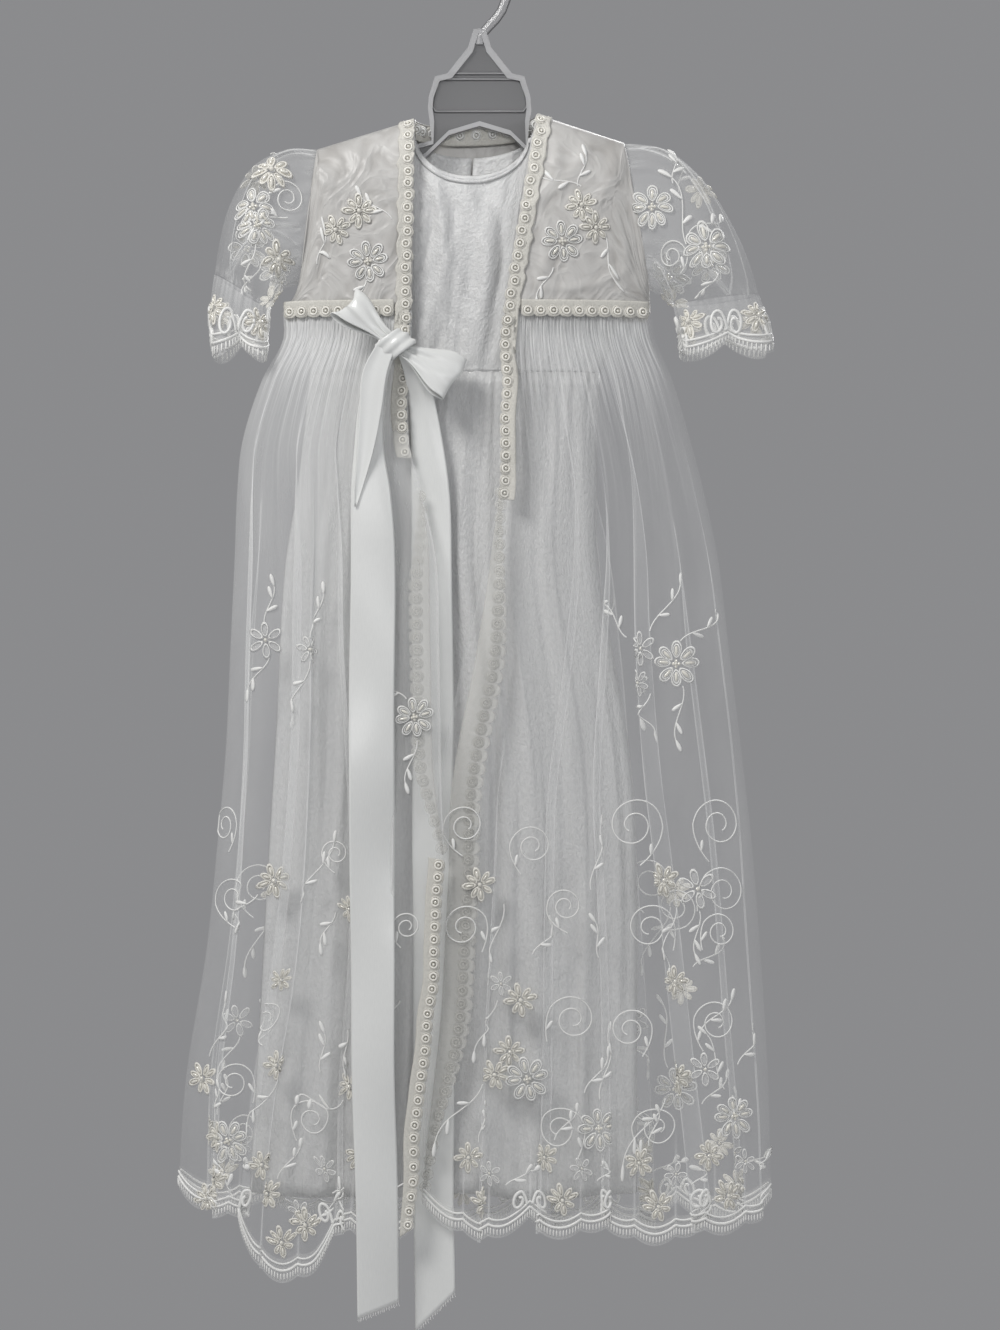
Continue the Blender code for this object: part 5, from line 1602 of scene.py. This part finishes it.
# %% [markdown]
# ## Embroidery and beading
# The flowers come in three kinds.  The large ones have eight white petals, each two loops of cord round
# a film of net with a pearl lying in it.  The small cream ones have eight satin-stitched petals with a
# long bead on each, and the small white ones are outlines only.  Fine stitched vines wind between them
# and end in curls and leaves.  Drawn flat they would lose their shadows and their beads, so each kind is
# modelled once and laid on the cloth, which it then follows over every fold.

# %% Flowers and leaves, modelled once
def flower(petal, petals, centre, seed):
    """A petal copied round, each a little different, about its centre."""
    copies = []
    for number in range(petals):
        turn = 360.0 * number / petals + 5.0 * math.sin(seed + 2.3 * number)
        size = 1.0 + 0.07 * math.sin(1.7 * seed + 3.1 * number)
        copies.append(moved(petal, turn=turn, size=size, out=0.0002 * (number % 2)))
    return together(copies + centre)


big_petal = together([
    narrowed(loop_of(0.0033, 0.0049, 0.0088, 0.00056, WHITE, 14, 3), 0.45),
    narrowed(loop_of(0.0021, 0.0034, 0.0086, 0.00042, WHITE, 11, 3), 0.45),
    narrowed(grain_of(0.0031, 0.00016, 0.0047, 0.0088, NET, 8, 3), 0.45),
    grain_of(0.0011, 0.0010, 0.0030, 0.0082, PEARL, 6, 5),
])
pip = grain_of(0.0011, 0.0010, 0.0011, 0.0, PEARL, 6, 4)
HEART = 0.0017            # how far the four pearls round a large flower's middle stand from it
heart = [
    moved(pip, right=HEART * math.sin(angle), up=HEART * math.cos(angle), out=0.0004)
    for angle in np.arange(4) * math.pi / 2
]
big_flower = flower(big_petal, 8, heart + [moved(pip, out=0.0012)], 0.0)

cream_petal = together([
    narrowed(loop_of(0.0018, 0.0034, 0.0056, 0.00050, CREAM, 11, 3), 0.5),
    narrowed(grain_of(0.0015, 0.00022, 0.0031, 0.0056, CREAM, 8, 3), 0.5),
    grain_of(0.00085, 0.0010, 0.0023, 0.0054, PEARL, 6, 4),
])
cream_flower = flower(cream_petal, 8, [moved(pip, out=0.0010, size=1.2)], 1.0)

thin_petal = together([
    narrowed(loop_of(0.0018, 0.0033, 0.0053, 0.00040, WHITE, 11, 3), 0.55),
    narrowed(grain_of(0.0016, 0.00014, 0.0030, 0.0053, NET, 8, 3), 0.55),
])
thin_flower = flower(thin_petal, 6, [moved(pip, out=0.0004, size=0.9)], 2.0)

leaf = narrowed(grain_of(0.0018, 0.00055, 0.0044, 0.0044, WHITE, 6, 6), 0.35)
FLOWERS = {"big": big_flower, "cream": cream_flower, "thin": thin_flower}
for kind, shape in FLOWERS.items():
    print(kind, "flower:", triangles_in(shape), "triangles")


# %% Vines: paths of fine cord with their leaves, also flat and small
def curl(size, hand, tail):
    """A curl: a stem that rises and winds into a spiral about (0, 0)."""
    stem = np.linspace(0.0, 1.0, 12)[:-1]
    angle = np.linspace(0.0, TURN * 1.65, 46)
    radius = size * (1.0 - 0.76 * (angle / angle[-1]) ** 0.8)
    x = np.concatenate([0.5 * tail * (1.0 - stem) ** 2 - size, -radius * np.cos(angle)])
    z = np.concatenate([-tail * (1.0 - stem), radius * np.sin(angle)])
    return np.stack([hand * x, np.zeros_like(x), z], axis=1)


def sprig(size, hand):
    """A short bent stem from (0, 0) upward."""
    t = np.linspace(0.0, 1.0, 14)
    return np.stack([hand * size * 0.45 * np.sin(1.7 * t) ** 2, np.zeros_like(t), size * t], axis=1)


def leaves_of(path, places, hand, size=1.0):
    """Leaves that branch off a path at some shares of its length, on either side by turns."""
    copies = []
    for number, share in enumerate(places):
        at = min(int(share * (len(path) - 1)), len(path) - 2)
        step = path[at + 1] - path[at]
        heading = math.degrees(math.atan2(step[2], step[0])) - 90.0
        side = 38.0 if number % 2 else -38.0
        if share >= 1.0:
            side = 0.0
        copies.append(moved(leaf, right=path[at, 0], up=path[at, 2], turn=heading + hand * side, size=size))
    return copies


def turned(path, turn):
    """A path turned on the cloth (degrees)."""
    angle = math.radians(turn)
    x, y, z = path.T
    x, z = x * math.cos(angle) - z * math.sin(angle), x * math.sin(angle) + z * math.cos(angle)
    return np.stack([x, y, z], axis=1)


# %% Sewing them on
# A thing's turn is in degrees.  A negative size mirrors a curl or a stem.
Sewn = namedtuple("Sewn", "kind x z turn size")
STEMS = {"sprig": 0.024, "twig": 0.045}    # how long each kind of stem is
CURL_SIZE, CURL_TAIL = 0.0170, 0.022
VINE_THICK = 0.00046


def embroidered(name, panel, items, in_shares=False, lift=0.0003):
    """Lay a list of flowers, curls and stems on a panel and join them into one piece."""
    laid, paths = [], []
    for item in items:
        u, v = (item.x, item.z) if in_shares else panel.find(item.x, item.z)
        hand = -1.0 if item.size < 0.0 else 1.0
        size = abs(item.size)
        if item.kind in FLOWERS:
            shape = moved(FLOWERS[item.kind], turn=item.turn, size=size)
            laid.append(Shape(panel.cover(u, v, shape.points, lift), shape.faces, shape.finishes))
            continue
        if item.kind == "curl":
            path = turned(curl(CURL_SIZE * size, hand, CURL_TAIL * size), item.turn)
            twigs = leaves_of(path, (0.06,), hand, 0.85)
        else:
            path = turned(sprig(STEMS[item.kind] * size, hand), item.turn)
            twigs = leaves_of(path, (0.35, 0.62, 1.0), hand, 0.95)
        fine = np.linspace(0.0, 1.0, len(path) * 2)
        even = np.linspace(0.0, 1.0, len(path))
        path = np.stack([np.interp(fine, even, path[:, axis]) for axis in range(3)], axis=1)
        paths.append(panel.cover(u, v, path, lift + 0.0001))
        for twig in twigs:
            laid.append(Shape(panel.cover(u, v, twig.points, lift), twig.faces, twig.finishes))
    if paths:
        laid.append(cords(paths, VINE_THICK, WHITE))
    sewn(name, laid, "lace")


# %% Flowers of the robe's skirt
LEFT_WORK = [
    Sewn("big", -0.0468, -0.4895, 10, 0.9), Sewn("sprig", -0.045, -0.504, 190, 1.1),
    Sewn("sprig", -0.052, -0.48, 30, -0.8), Sewn("thin", -0.143, -0.441, 0, 1.3),
    Sewn("sprig", -0.144, -0.43, 10, 1.0), Sewn("sprig", -0.14, -0.45, 170, 1.0),
    Sewn("thin", -0.112, -0.448, 20, 1.05), Sewn("twig", -0.113, -0.455, 180, 0.9),
    Sewn("sprig", -0.111, -0.438, 0, 1.2), Sewn("cream", -0.1378, -0.596, 15, 1.15),
    Sewn("curl", -0.164, -0.606, 20, 0.85), Sewn("sprig", -0.144, -0.604, 150, 1.1),
    Sewn("curl", -0.0975, -0.5785, 12, 0.55), Sewn("twig", -0.12, -0.61, -15, 0.9),
    Sewn("sprig", -0.098, -0.615, 180, 0.9), Sewn("cream", -0.1326, -0.66, 40, 0.8),
    Sewn("curl", -0.143, -0.685, 10, 0.75), Sewn("curl", -0.17, -0.56, 0, -0.8),
    Sewn("cream", -0.1352, -0.7124, 0, 0.95), Sewn("twig", -0.133, -0.723, 170, 0.9),
    Sewn("curl", -0.164, -0.725, 30, -0.8), Sewn("cream", -0.184, -0.7235, 25, 1.1),
    Sewn("twig", -0.18, -0.71, -10, 0.9), Sewn("big", -0.167, -0.764, 20, 0.95),
    Sewn("cream", -0.1443, -0.7794, 10, 0.95), Sewn("curl", -0.112, -0.75, -20, 0.8),
    Sewn("sprig", -0.105, -0.72, 20, 1.0), Sewn("cream", -0.088, -0.615, 5, 0.8),
    Sewn("sprig", -0.086, -0.69, 200, 1.0), Sewn("cream", -0.087, -0.725, 30, 1.0),
    Sewn("twig", -0.093, -0.735, 155, 0.9), Sewn("curl", -0.052, -0.625, 0, 0.6),
    Sewn("sprig", -0.056, -0.67, 160, 0.9), Sewn("cream", -0.1164, -0.8138, 0, 1.05),
    Sewn("sprig", -0.1, -0.795, -70, -0.9), Sewn("cream", -0.1807, -0.8, 12, 1.05),
    Sewn("sprig", -0.16, -0.8, 50, 0.9), Sewn("thin", -0.105, -0.78, 10, 0.9),
]
RIGHT_WORK = [
    Sewn("big", 0.1216, -0.458, 0, 1.05), Sewn("sprig", 0.126, -0.442, -35, 1.2),
    Sewn("twig", 0.126, -0.472, 200, 0.75), Sewn("thin", 0.101, -0.448, 0, 1.25),
    Sewn("thin", 0.098, -0.466, 15, 1.0), Sewn("sprig", 0.093, -0.44, 60, 1.0),
    Sewn("sprig", 0.108, -0.477, 170, 1.2), Sewn("twig", 0.108, -0.435, -10, 0.8),
    Sewn("curl", 0.0975, -0.56, -5, -1.15), Sewn("curl", 0.152, -0.558, 0, 1.1),
    Sewn("cream", 0.1157, -0.5967, 20, 1.15), Sewn("thin", 0.1385, -0.601, 10, 1.45),
    Sewn("curl", 0.156, -0.603, -40, 1.0), Sewn("curl", 0.107, -0.624, 30, -0.95),
    Sewn("curl", 0.153, -0.63, -30, 0.75), Sewn("twig", 0.125, -0.612, 185, 0.9),
    Sewn("sprig", 0.14, -0.615, 200, 1.1), Sewn("curl", -0.015, -0.56, 10, 0.85),
    Sewn("cream", -0.0013, -0.5987, 10, 1.1), Sewn("curl", 0.0325, -0.574, -5, 0.85),
    Sewn("twig", 0.01, -0.61, 190, 1.0), Sewn("curl", 0.05, -0.613, 20, 0.75),
    Sewn("twig", 0.07, -0.6, 10, 0.9), Sewn("curl", -0.016, -0.625, 20, -0.9),
    Sewn("sprig", 0.032, -0.64, -20, 1.0), Sewn("sprig", 0.075, -0.645, 30, 0.9),
    Sewn("cream", 0.024, -0.6695, 10, 1.1), Sewn("thin", 0.0085, -0.6617, 0, 0.85),
    Sewn("twig", 0.006, -0.672, 170, 0.9), Sewn("cream", 0.0169, -0.7027, 0, 1.0),
    Sewn("cream", 0.0046, -0.7176, 25, 1.0), Sewn("big", 0.0286, -0.7235, 12, 1.02),
    Sewn("curl", 0.055, -0.685, -35, 0.95), Sewn("twig", -0.003, -0.725, 165, 1.0),
    Sewn("sprig", 0.066, -0.73, -10, 1.1), Sewn("big", 0.0748, -0.7553, 5, 1.0),
    Sewn("curl", 0.046, -0.755, 15, -1.0), Sewn("twig", 0.076, -0.735, 10, 0.95),
    Sewn("curl", 0.095, -0.69, 10, -0.85), Sewn("cream", 0.1229, -0.7235, 15, 1.15),
    Sewn("cream", 0.1235, -0.6617, 0, 1.0), Sewn("twig", 0.118, -0.735, 170, 1.0),
    Sewn("curl", 0.112, -0.755, 0, 0.95), Sewn("sprig", 0.138, -0.69, -20, 1.1),
    Sewn("curl", 0.15, -0.685, -10, 0.9), Sewn("big", 0.1625, -0.7475, 8, 1.0),
    Sewn("twig", 0.156, -0.73, 45, 0.8), Sewn("sprig", 0.165, -0.715, -15, 1.0),
    Sewn("thin", 0.143, -0.715, 0, 1.2),
]
BACK_WORK = [
    Sewn("big", 0.06, -0.455, 0, 1.0), Sewn("sprig", 0.064, -0.438, -20, 1.1),
    Sewn("twig", 0.055, -0.47, 180, 0.8), Sewn("thin", -0.09, -0.45, 0, 1.2),
    Sewn("sprig", -0.088, -0.437, 20, 1.0), Sewn("sprig", -0.092, -0.462, 170, 1.0),
    Sewn("thin", -0.012, -0.44, 0, 1.1), Sewn("sprig", -0.01, -0.45, 190, 1.0),
]
GROUPS = [
    (-0.150, 1.0, 0.0), (-0.085, -1.0, 0.012), (-0.020, 1.0, -0.008), (0.045, -1.0, 0.010), (0.110, 1.0, 0.0),
]
for start, hand, shift in GROUPS:
    BACK_WORK += [
        Sewn("curl", start, -0.600 + shift, 5 * hand, 0.95 * hand),
        Sewn("cream", start + 0.012 * hand, -0.606 + shift, 15, 1.1),
        Sewn("curl", start + 0.016, -0.616 + shift, -60 * hand, -0.85 * hand),
        Sewn("twig", start + 0.01, -0.615 + shift, 180, 0.9),
        Sewn("cream", start + 0.02, -0.668 + shift, 0, 1.0),
        Sewn("sprig", start + 0.028, -0.655 + shift, -30 * hand, 1.0),
        Sewn("thin", start - 0.014, -0.690 + shift, 10, 1.2),
        Sewn("sprig", start - 0.012, -0.702 + shift, 170, 1.0),
        Sewn("big", start + 0.014, -0.735 + shift, 9 * hand, 1.0),
        Sewn("twig", start + 0.008, -0.722 + shift, 30 * hand, 0.9),
        Sewn("curl", start - 0.01, -0.762 + shift, 20 * hand, -0.75 * hand),
        Sewn("sprig", start + 0.034, -0.745 + shift, -15, 1.0),
    ]


def near_hem(units):
    """Small flowers that sit in each scallop, in shares of the panel."""
    items = []
    for unit in range(units):
        middle = (unit + 0.5) / units
        step = 1.0 / units
        items += [
            Sewn("cream", middle + 0.02 * step, 0.966, 10 * unit, 1.0),
            Sewn("thin", middle + 0.17 * step, 0.946, 20 * unit, 0.85),
            Sewn("cream", middle - 0.13 * step, 0.936, 30 * unit, 0.95),
            Sewn("sprig", middle - 0.05 * step, 0.922, 10 - 20 * (unit % 2), 1.0),
            Sewn("sprig", middle + 0.30 * step, 0.955, -40, 0.8),
        ]
    return items


embroidered("embroidery_skirt_left", on_left, LEFT_WORK)
embroidered("embroidery_skirt_right", on_right, RIGHT_WORK)
embroidered("embroidery_skirt_back", on_back, BACK_WORK)
embroidered("embroidery_hem_left", on_left, near_hem(LEFT_UNITS), in_shares=True)
embroidered("embroidery_hem_right", on_right, near_hem(RIGHT_UNITS), in_shares=True)
embroidered("embroidery_hem_back", on_back, near_hem(BACK_UNITS), in_shares=True)

# %% Flowers of the bodice and sleeves
BODY_LEFT_WORK = [
    Sewn("big", -0.0774, -0.1963, 8, 0.95), Sewn("cream", -0.0832, -0.1651, 0, 1.15),
    Sewn("cream", -0.0975, -0.1781, 20, 1.0), Sewn("sprig", -0.059, -0.168, 25, -1.0),
    Sewn("sprig", -0.078, -0.208, 185, 0.85), Sewn("sprig", -0.108, -0.201, 8, 0.9),
]
BODY_RIGHT_WORK = [
    Sewn("big", 0.0507, -0.1866, 5, 0.95), Sewn("cream", 0.0637, -0.1593, 12, 1.05),
    Sewn("cream", 0.0735, -0.1768, 0, 1.05), Sewn("sprig", 0.061, -0.151, 50, -1.1),
    Sewn("sprig", 0.046, -0.2, 175, 0.85), Sewn("sprig", 0.08, -0.181, 215, 1.0),
    Sewn("sprig", 0.058, -0.15, 10, 0.8),
]
BODY_BACK_WORK = [
    Sewn("big", -0.07, -0.185, 8, 0.95), Sewn("cream", -0.088, -0.165, 0, 1.1),
    Sewn("cream", -0.056, -0.165, 20, 1.0), Sewn("sprig", -0.072, -0.2, 185, 0.9),
    Sewn("sprig", -0.048, -0.16, -30, 0.9), Sewn("big", 0.048, -0.185, 5, 0.95),
    Sewn("cream", 0.064, -0.165, 12, 1.1), Sewn("cream", 0.034, -0.165, 0, 1.0),
    Sewn("sprig", 0.05, -0.2, 175, 0.9), Sewn("sprig", 0.025, -0.16, 30, 0.9),
]
embroidered("embroidery_bodice_left", on_body_left, BODY_LEFT_WORK)
embroidered("embroidery_bodice_right", on_body_right, BODY_RIGHT_WORK)
embroidered("embroidery_bodice_back", on_body_back, BODY_BACK_WORK)

SLEEVE_LEFT_WORK = [
    Sewn("cream", -0.1372, -0.1372, 0, 1.3), Sewn("big", -0.15, -0.1619, 10, 0.95),
    Sewn("big", -0.1437, -0.175, 25, 0.9), Sewn("cream", -0.132, -0.1963, 0, 1.2),
    Sewn("thin", -0.131, -0.21, 0, 1.1), Sewn("twig", -0.145, -0.186, 185, 0.8),
    Sewn("curl", -0.125, -0.156, -80, 0.65), Sewn("sprig", -0.125, -0.17, 100, 0.9),
]
SLEEVE_RIGHT_WORK = [
    Sewn("big", 0.106, -0.1612, 0, 1.02), Sewn("big", 0.1424, -0.1872, 6, 1.12),
    Sewn("twig", 0.129, -0.185, 25, 0.9), Sewn("curl", 0.118, -0.195, 20, -0.6),
    Sewn("sprig", 0.131, -0.178, -20, 1.0), Sewn("sprig", 0.152, -0.206, 175, 0.8),
    Sewn("sprig", 0.12, -0.145, 20, 0.9),
]
BEHIND_WORK = [
    Sewn("big", 0.66, 0.42, 10, 1.0), Sewn("big", 0.8, 0.62, 30, 0.95),
    Sewn("cream", 0.92, 0.4, 0, 1.1), Sewn("cream", 0.6, 0.72, 0, 1.1),
    Sewn("sprig", 0.72, 0.6, 160, 0.9), Sewn("sprig", 0.86, 0.3, 20, 0.9),
]
CUFF_WORK = [
    Sewn("cream", (scallop + 0.5) / CUFF_SCALLOPS, 0.42, 15 * scallop, 1.05)
    for scallop in range(CUFF_SCALLOPS)
]
SLEEVE_LIFT = 0.0012      # over the sleeve's own folds
embroidered("embroidery_sleeve_left", sleeves["sleeve", "left"], SLEEVE_LEFT_WORK, lift=SLEEVE_LIFT)
embroidered("embroidery_sleeve_right", sleeves["sleeve", "right"], SLEEVE_RIGHT_WORK, lift=SLEEVE_LIFT)
for word in ("left", "right"):
    name = "embroidery_sleeve_behind_" + word
    embroidered(name, sleeves["sleeve", word], BEHIND_WORK, in_shares=True, lift=SLEEVE_LIFT)
    embroidered("embroidery_cuff_" + word, sleeves["cuff", word], CUFF_WORK, in_shares=True)

# %% [markdown]
# ## The satin ribbon and its bow
# The bow is one length of ribbon: two loops, a knot wrapped round their middle, and two long tails with
# slanted, slightly frayed ends.  It could be bent from flat strips with a curve, but a bow needs each
# strip's twist and width set along its length, so each is a function too.  A loop is a strip that goes
# out, turns over and comes back, pinched where the knot holds it.  Rolling a loop about its own axis
# shows its inside.

# %% Loops and knot
Place = namedtuple("Place", "z x width y")
RIBBON_WIDTH = 0.026
RIBBON_WALL = 0.0004
KNOT = np.array([-0.0570, -0.0345, -0.2520])
KNOT_LONG, KNOT_TALL, KNOT_DEEP = 0.0150, 0.0098, 0.0060
BOW_PINCH = 0.0115        # a loop's width where the knot holds it


def bow_loop(angle, length, width, roll, hollow, crumple, seed):
    """Surface of a loop: u across the ribbon, v out to the turn and back."""
    heading, rolled = math.radians(angle), math.radians(roll)
    ahead = np.array([math.cos(heading), 0.0, math.sin(heading)])
    beside = np.array([-math.sin(heading), 0.0, math.cos(heading)])
    across = beside * math.cos(rolled) + np.array([0.0, math.sin(rolled), 0.0])
    thick = -beside * math.sin(rolled) + np.array([0.0, math.cos(rolled), 0.0])

    def surface(u, v):
        arc = np.sin(np.pi * v)
        half = lerp(BOW_PINCH, width, smooth(arc * 1.25)) / 2.0
        side = (2.0 * u - 1.0) * half
        out = 0.004 + length * arc ** 0.8 + crumple * 1.4 * uneven(u, 0.9, seed) * arc
        lift = -hollow * np.sin(TURN * v) * lerp(0.7, 1.0, arc)
        lift = lift + crumple * uneven(u + 0.35 * v, 0.55, seed) * arc
        lift = lift + 0.0013 * np.cos(TURN * 2.5 * u + seed) * (1.0 - arc)
        return KNOT + ahead * out[:, None] + across * side[:, None] + thick * lift[:, None]

    return surface


def knot_wrap(u, v):
    """Surface of the knot: a strip wound once round the middle of the bow."""
    turn = TURN * u
    heading = math.radians(-38.0)
    ahead = np.array([math.cos(heading), 0.0, math.sin(heading)])
    beside = np.array([-math.sin(heading), 0.0, math.cos(heading)])
    fold = 1.0 + 0.07 * np.sin(TURN * 2.2 * v + 1.0 + 0.6 * np.cos(turn)) - 0.16 * (2.0 * v - 1.0) ** 4
    along = (v - 0.5) * KNOT_LONG + 0.0025 * np.cos(turn)
    return (
        KNOT
        + ahead * along[:, None]
        + beside * (KNOT_TALL * np.cos(turn) * fold)[:, None]
        + np.array([0.0, 1.0, 0.0]) * (KNOT_DEEP * np.sin(turn) * fold)[:, None]
    )


loop_left = bow_loop(141.0, 0.0365, 0.0270, -34.0, 0.0035, 0.0020, 1.0)
loop_right = bow_loop(-31.0, 0.0405, 0.0315, 18.0, 0.0036, 0.0007, 3.0)
for name, surface, length, node in (
    ("bow_loop_left", loop_left, 0.080, "ribbon_loop_left"),
    ("bow_loop_right", loop_right, 0.095, "ribbon_loop_right"),
):
    flat = (RIBBON_WIDTH, length)
    piece = lay_out(name, surface, 28, 72, ribbon, flat, away_from_y(-1.0), RIBBON_WALL)
    stand_for(piece, "ribbon", node)
    tell(piece, flat, 2)
knot = lay_out("bow_knot", knot_wrap, 48, 20, ribbon, (0.050, 0.016), away_from(Vector(KNOT)), 0.0005)
stand_for(knot, "ribbon", "ribbon_knot")
print("knot area", round(area_of(knot) / 2, 5))

# %% Tails, with slanted ends and a few loose threads
LEFT_TAIL = [
    Place(-0.2480, -0.0590, 0.0110, -0.0345),
    Place(-0.2720, -0.0690, 0.0150, -0.0338),
    Place(-0.2950, -0.0728, 0.0165, -0.0330),
    Place(-0.3200, -0.0735, 0.0190, -0.0335),
    Place(-0.3450, -0.0725, 0.0250, -0.0350),
    Place(-0.3800, -0.0718, 0.0280, -0.0362),
    Place(-0.5000, -0.0720, 0.0290, -0.0375),
    Place(-0.6500, -0.0716, 0.0280, -0.0378),
    Place(-0.8000, -0.0692, 0.0268, -0.0380),
    Place(-0.8690, -0.0680, 0.0262, -0.0380),
]
LEFT_TOP = [
    Place(-0.2480, -0.0605, 0.0120, -0.0376),
    Place(-0.2700, -0.0700, 0.0158, -0.0372),
    Place(-0.2950, -0.0730, 0.0140, -0.0366),
    Place(-0.3200, -0.0762, 0.0104, -0.0366),
    Place(-0.3450, -0.0805, 0.0048, -0.0370),
    Place(-0.3560, -0.0822, 0.0010, -0.0374),
]
RIGHT_TAIL = [
    Place(-0.2540, -0.0520, 0.0110, -0.0335),
    Place(-0.2680, -0.0455, 0.0140, -0.0280),
    Place(-0.2900, -0.0400, 0.0170, -0.0215),
    Place(-0.3400, -0.0350, 0.0240, -0.0203),
    Place(-0.3900, -0.0340, 0.0260, -0.0203),
    Place(-0.5500, -0.0335, 0.0260, -0.0210),
    Place(-0.7000, -0.0330, 0.0260, -0.0210),
    Place(-0.8000, -0.0325, 0.0260, -0.0212),
    Place(-0.8730, -0.0325, 0.0256, -0.0212),
]


def tail(places, slant, seed, wave=0.0016, cup=0.0008, twist=0.0):
    """Surface of a tail: u across it, v down it.

    wave is how far it sways in depth, cup how far its sides bend back, and twist how far it turns."""

    def surface(u, v):
        z = lerp(places[0].z, places[-1].z, v)
        width = read(places, "width", z)
        x = read(places, "x", z) + (u - 0.5) * width + 0.0005 * uneven(z, 0.21, seed)
        y = read(places, "y", z) + wave * uneven(z + 0.02 * u, 0.15, seed) * smooth(v / 0.1)
        y = y + cup * (2.0 * u - 1.0) ** 2
        y -= 0.0012 * np.exp(-(((u - 0.5 - 0.3 * np.sin(9.0 * v)) / 0.16) ** 2)) * np.exp(-v / 0.08)
        y += twist * (u - 0.5) * width * (0.35 + uneven(z, 0.27, seed + 1.0)) * smooth(v / 0.15)
        z = z - slant * (0.5 - u) * smooth((v - 0.9) / 0.1)
        return np.stack([x, y, z], axis=1)

    return surface


tail_left = tail(LEFT_TAIL, 0.0095, 1.0, twist=0.26)
tail_top = tail(LEFT_TOP, 0.0, 2.0, 0.0004, -0.0010)
tail_right = tail(RIGHT_TAIL, 0.0255, 3.0, 0.0004, 0.0002, twist=-0.10)
FRAYS = 34
FRAY_LONG, FRAY_THICK = 0.0026, 0.00016


def loose_threads(surface):
    """Short threads that hang from a cut end."""
    paths = []
    for number in range(FRAYS):
        u = (number + 0.5) / FRAYS
        length = FRAY_LONG * (0.55 + 0.45 * abs(math.sin(7.1 * number)))
        start = surface(np.array([u]), np.array([1.0]))[0]
        lean = 0.0009 * math.sin(3.3 * number)
        hangs = [[0.0, 0.0, 0.001], [0.3 * lean, 0.0, -0.5 * length], [lean, 0.0, -length]]
        paths.append(start + np.array(hangs))
    return cords(paths, FRAY_THICK, WHITE)


left_strips = [("ribbon_left", tail_left, 20, 200), ("ribbon_left_turn", tail_top, 16, 40)]
right_strips = [("ribbon_right", tail_right, 16, 180)]
for strips, length, node in (
    (left_strips, 0.700, "ribbon_tail_left"),
    (right_strips, 0.640, "ribbon_tail_right"),
):
    flat = (RIBBON_WIDTH, length)
    made = []
    for name, surface, columns, rows in strips:
        made.append(lay_out(name, surface, columns, rows, ribbon, flat, away_from_y(-1.0), RIBBON_WALL))
    piece = made[0]
    sewn(piece.name + "_threads", [loose_threads(strips[0][1])], "ribbon")
    if made[1:]:
        add_to(piece, *made[1:])
    stand_for(piece, "ribbon", node)
    tell(piece, flat, 2)
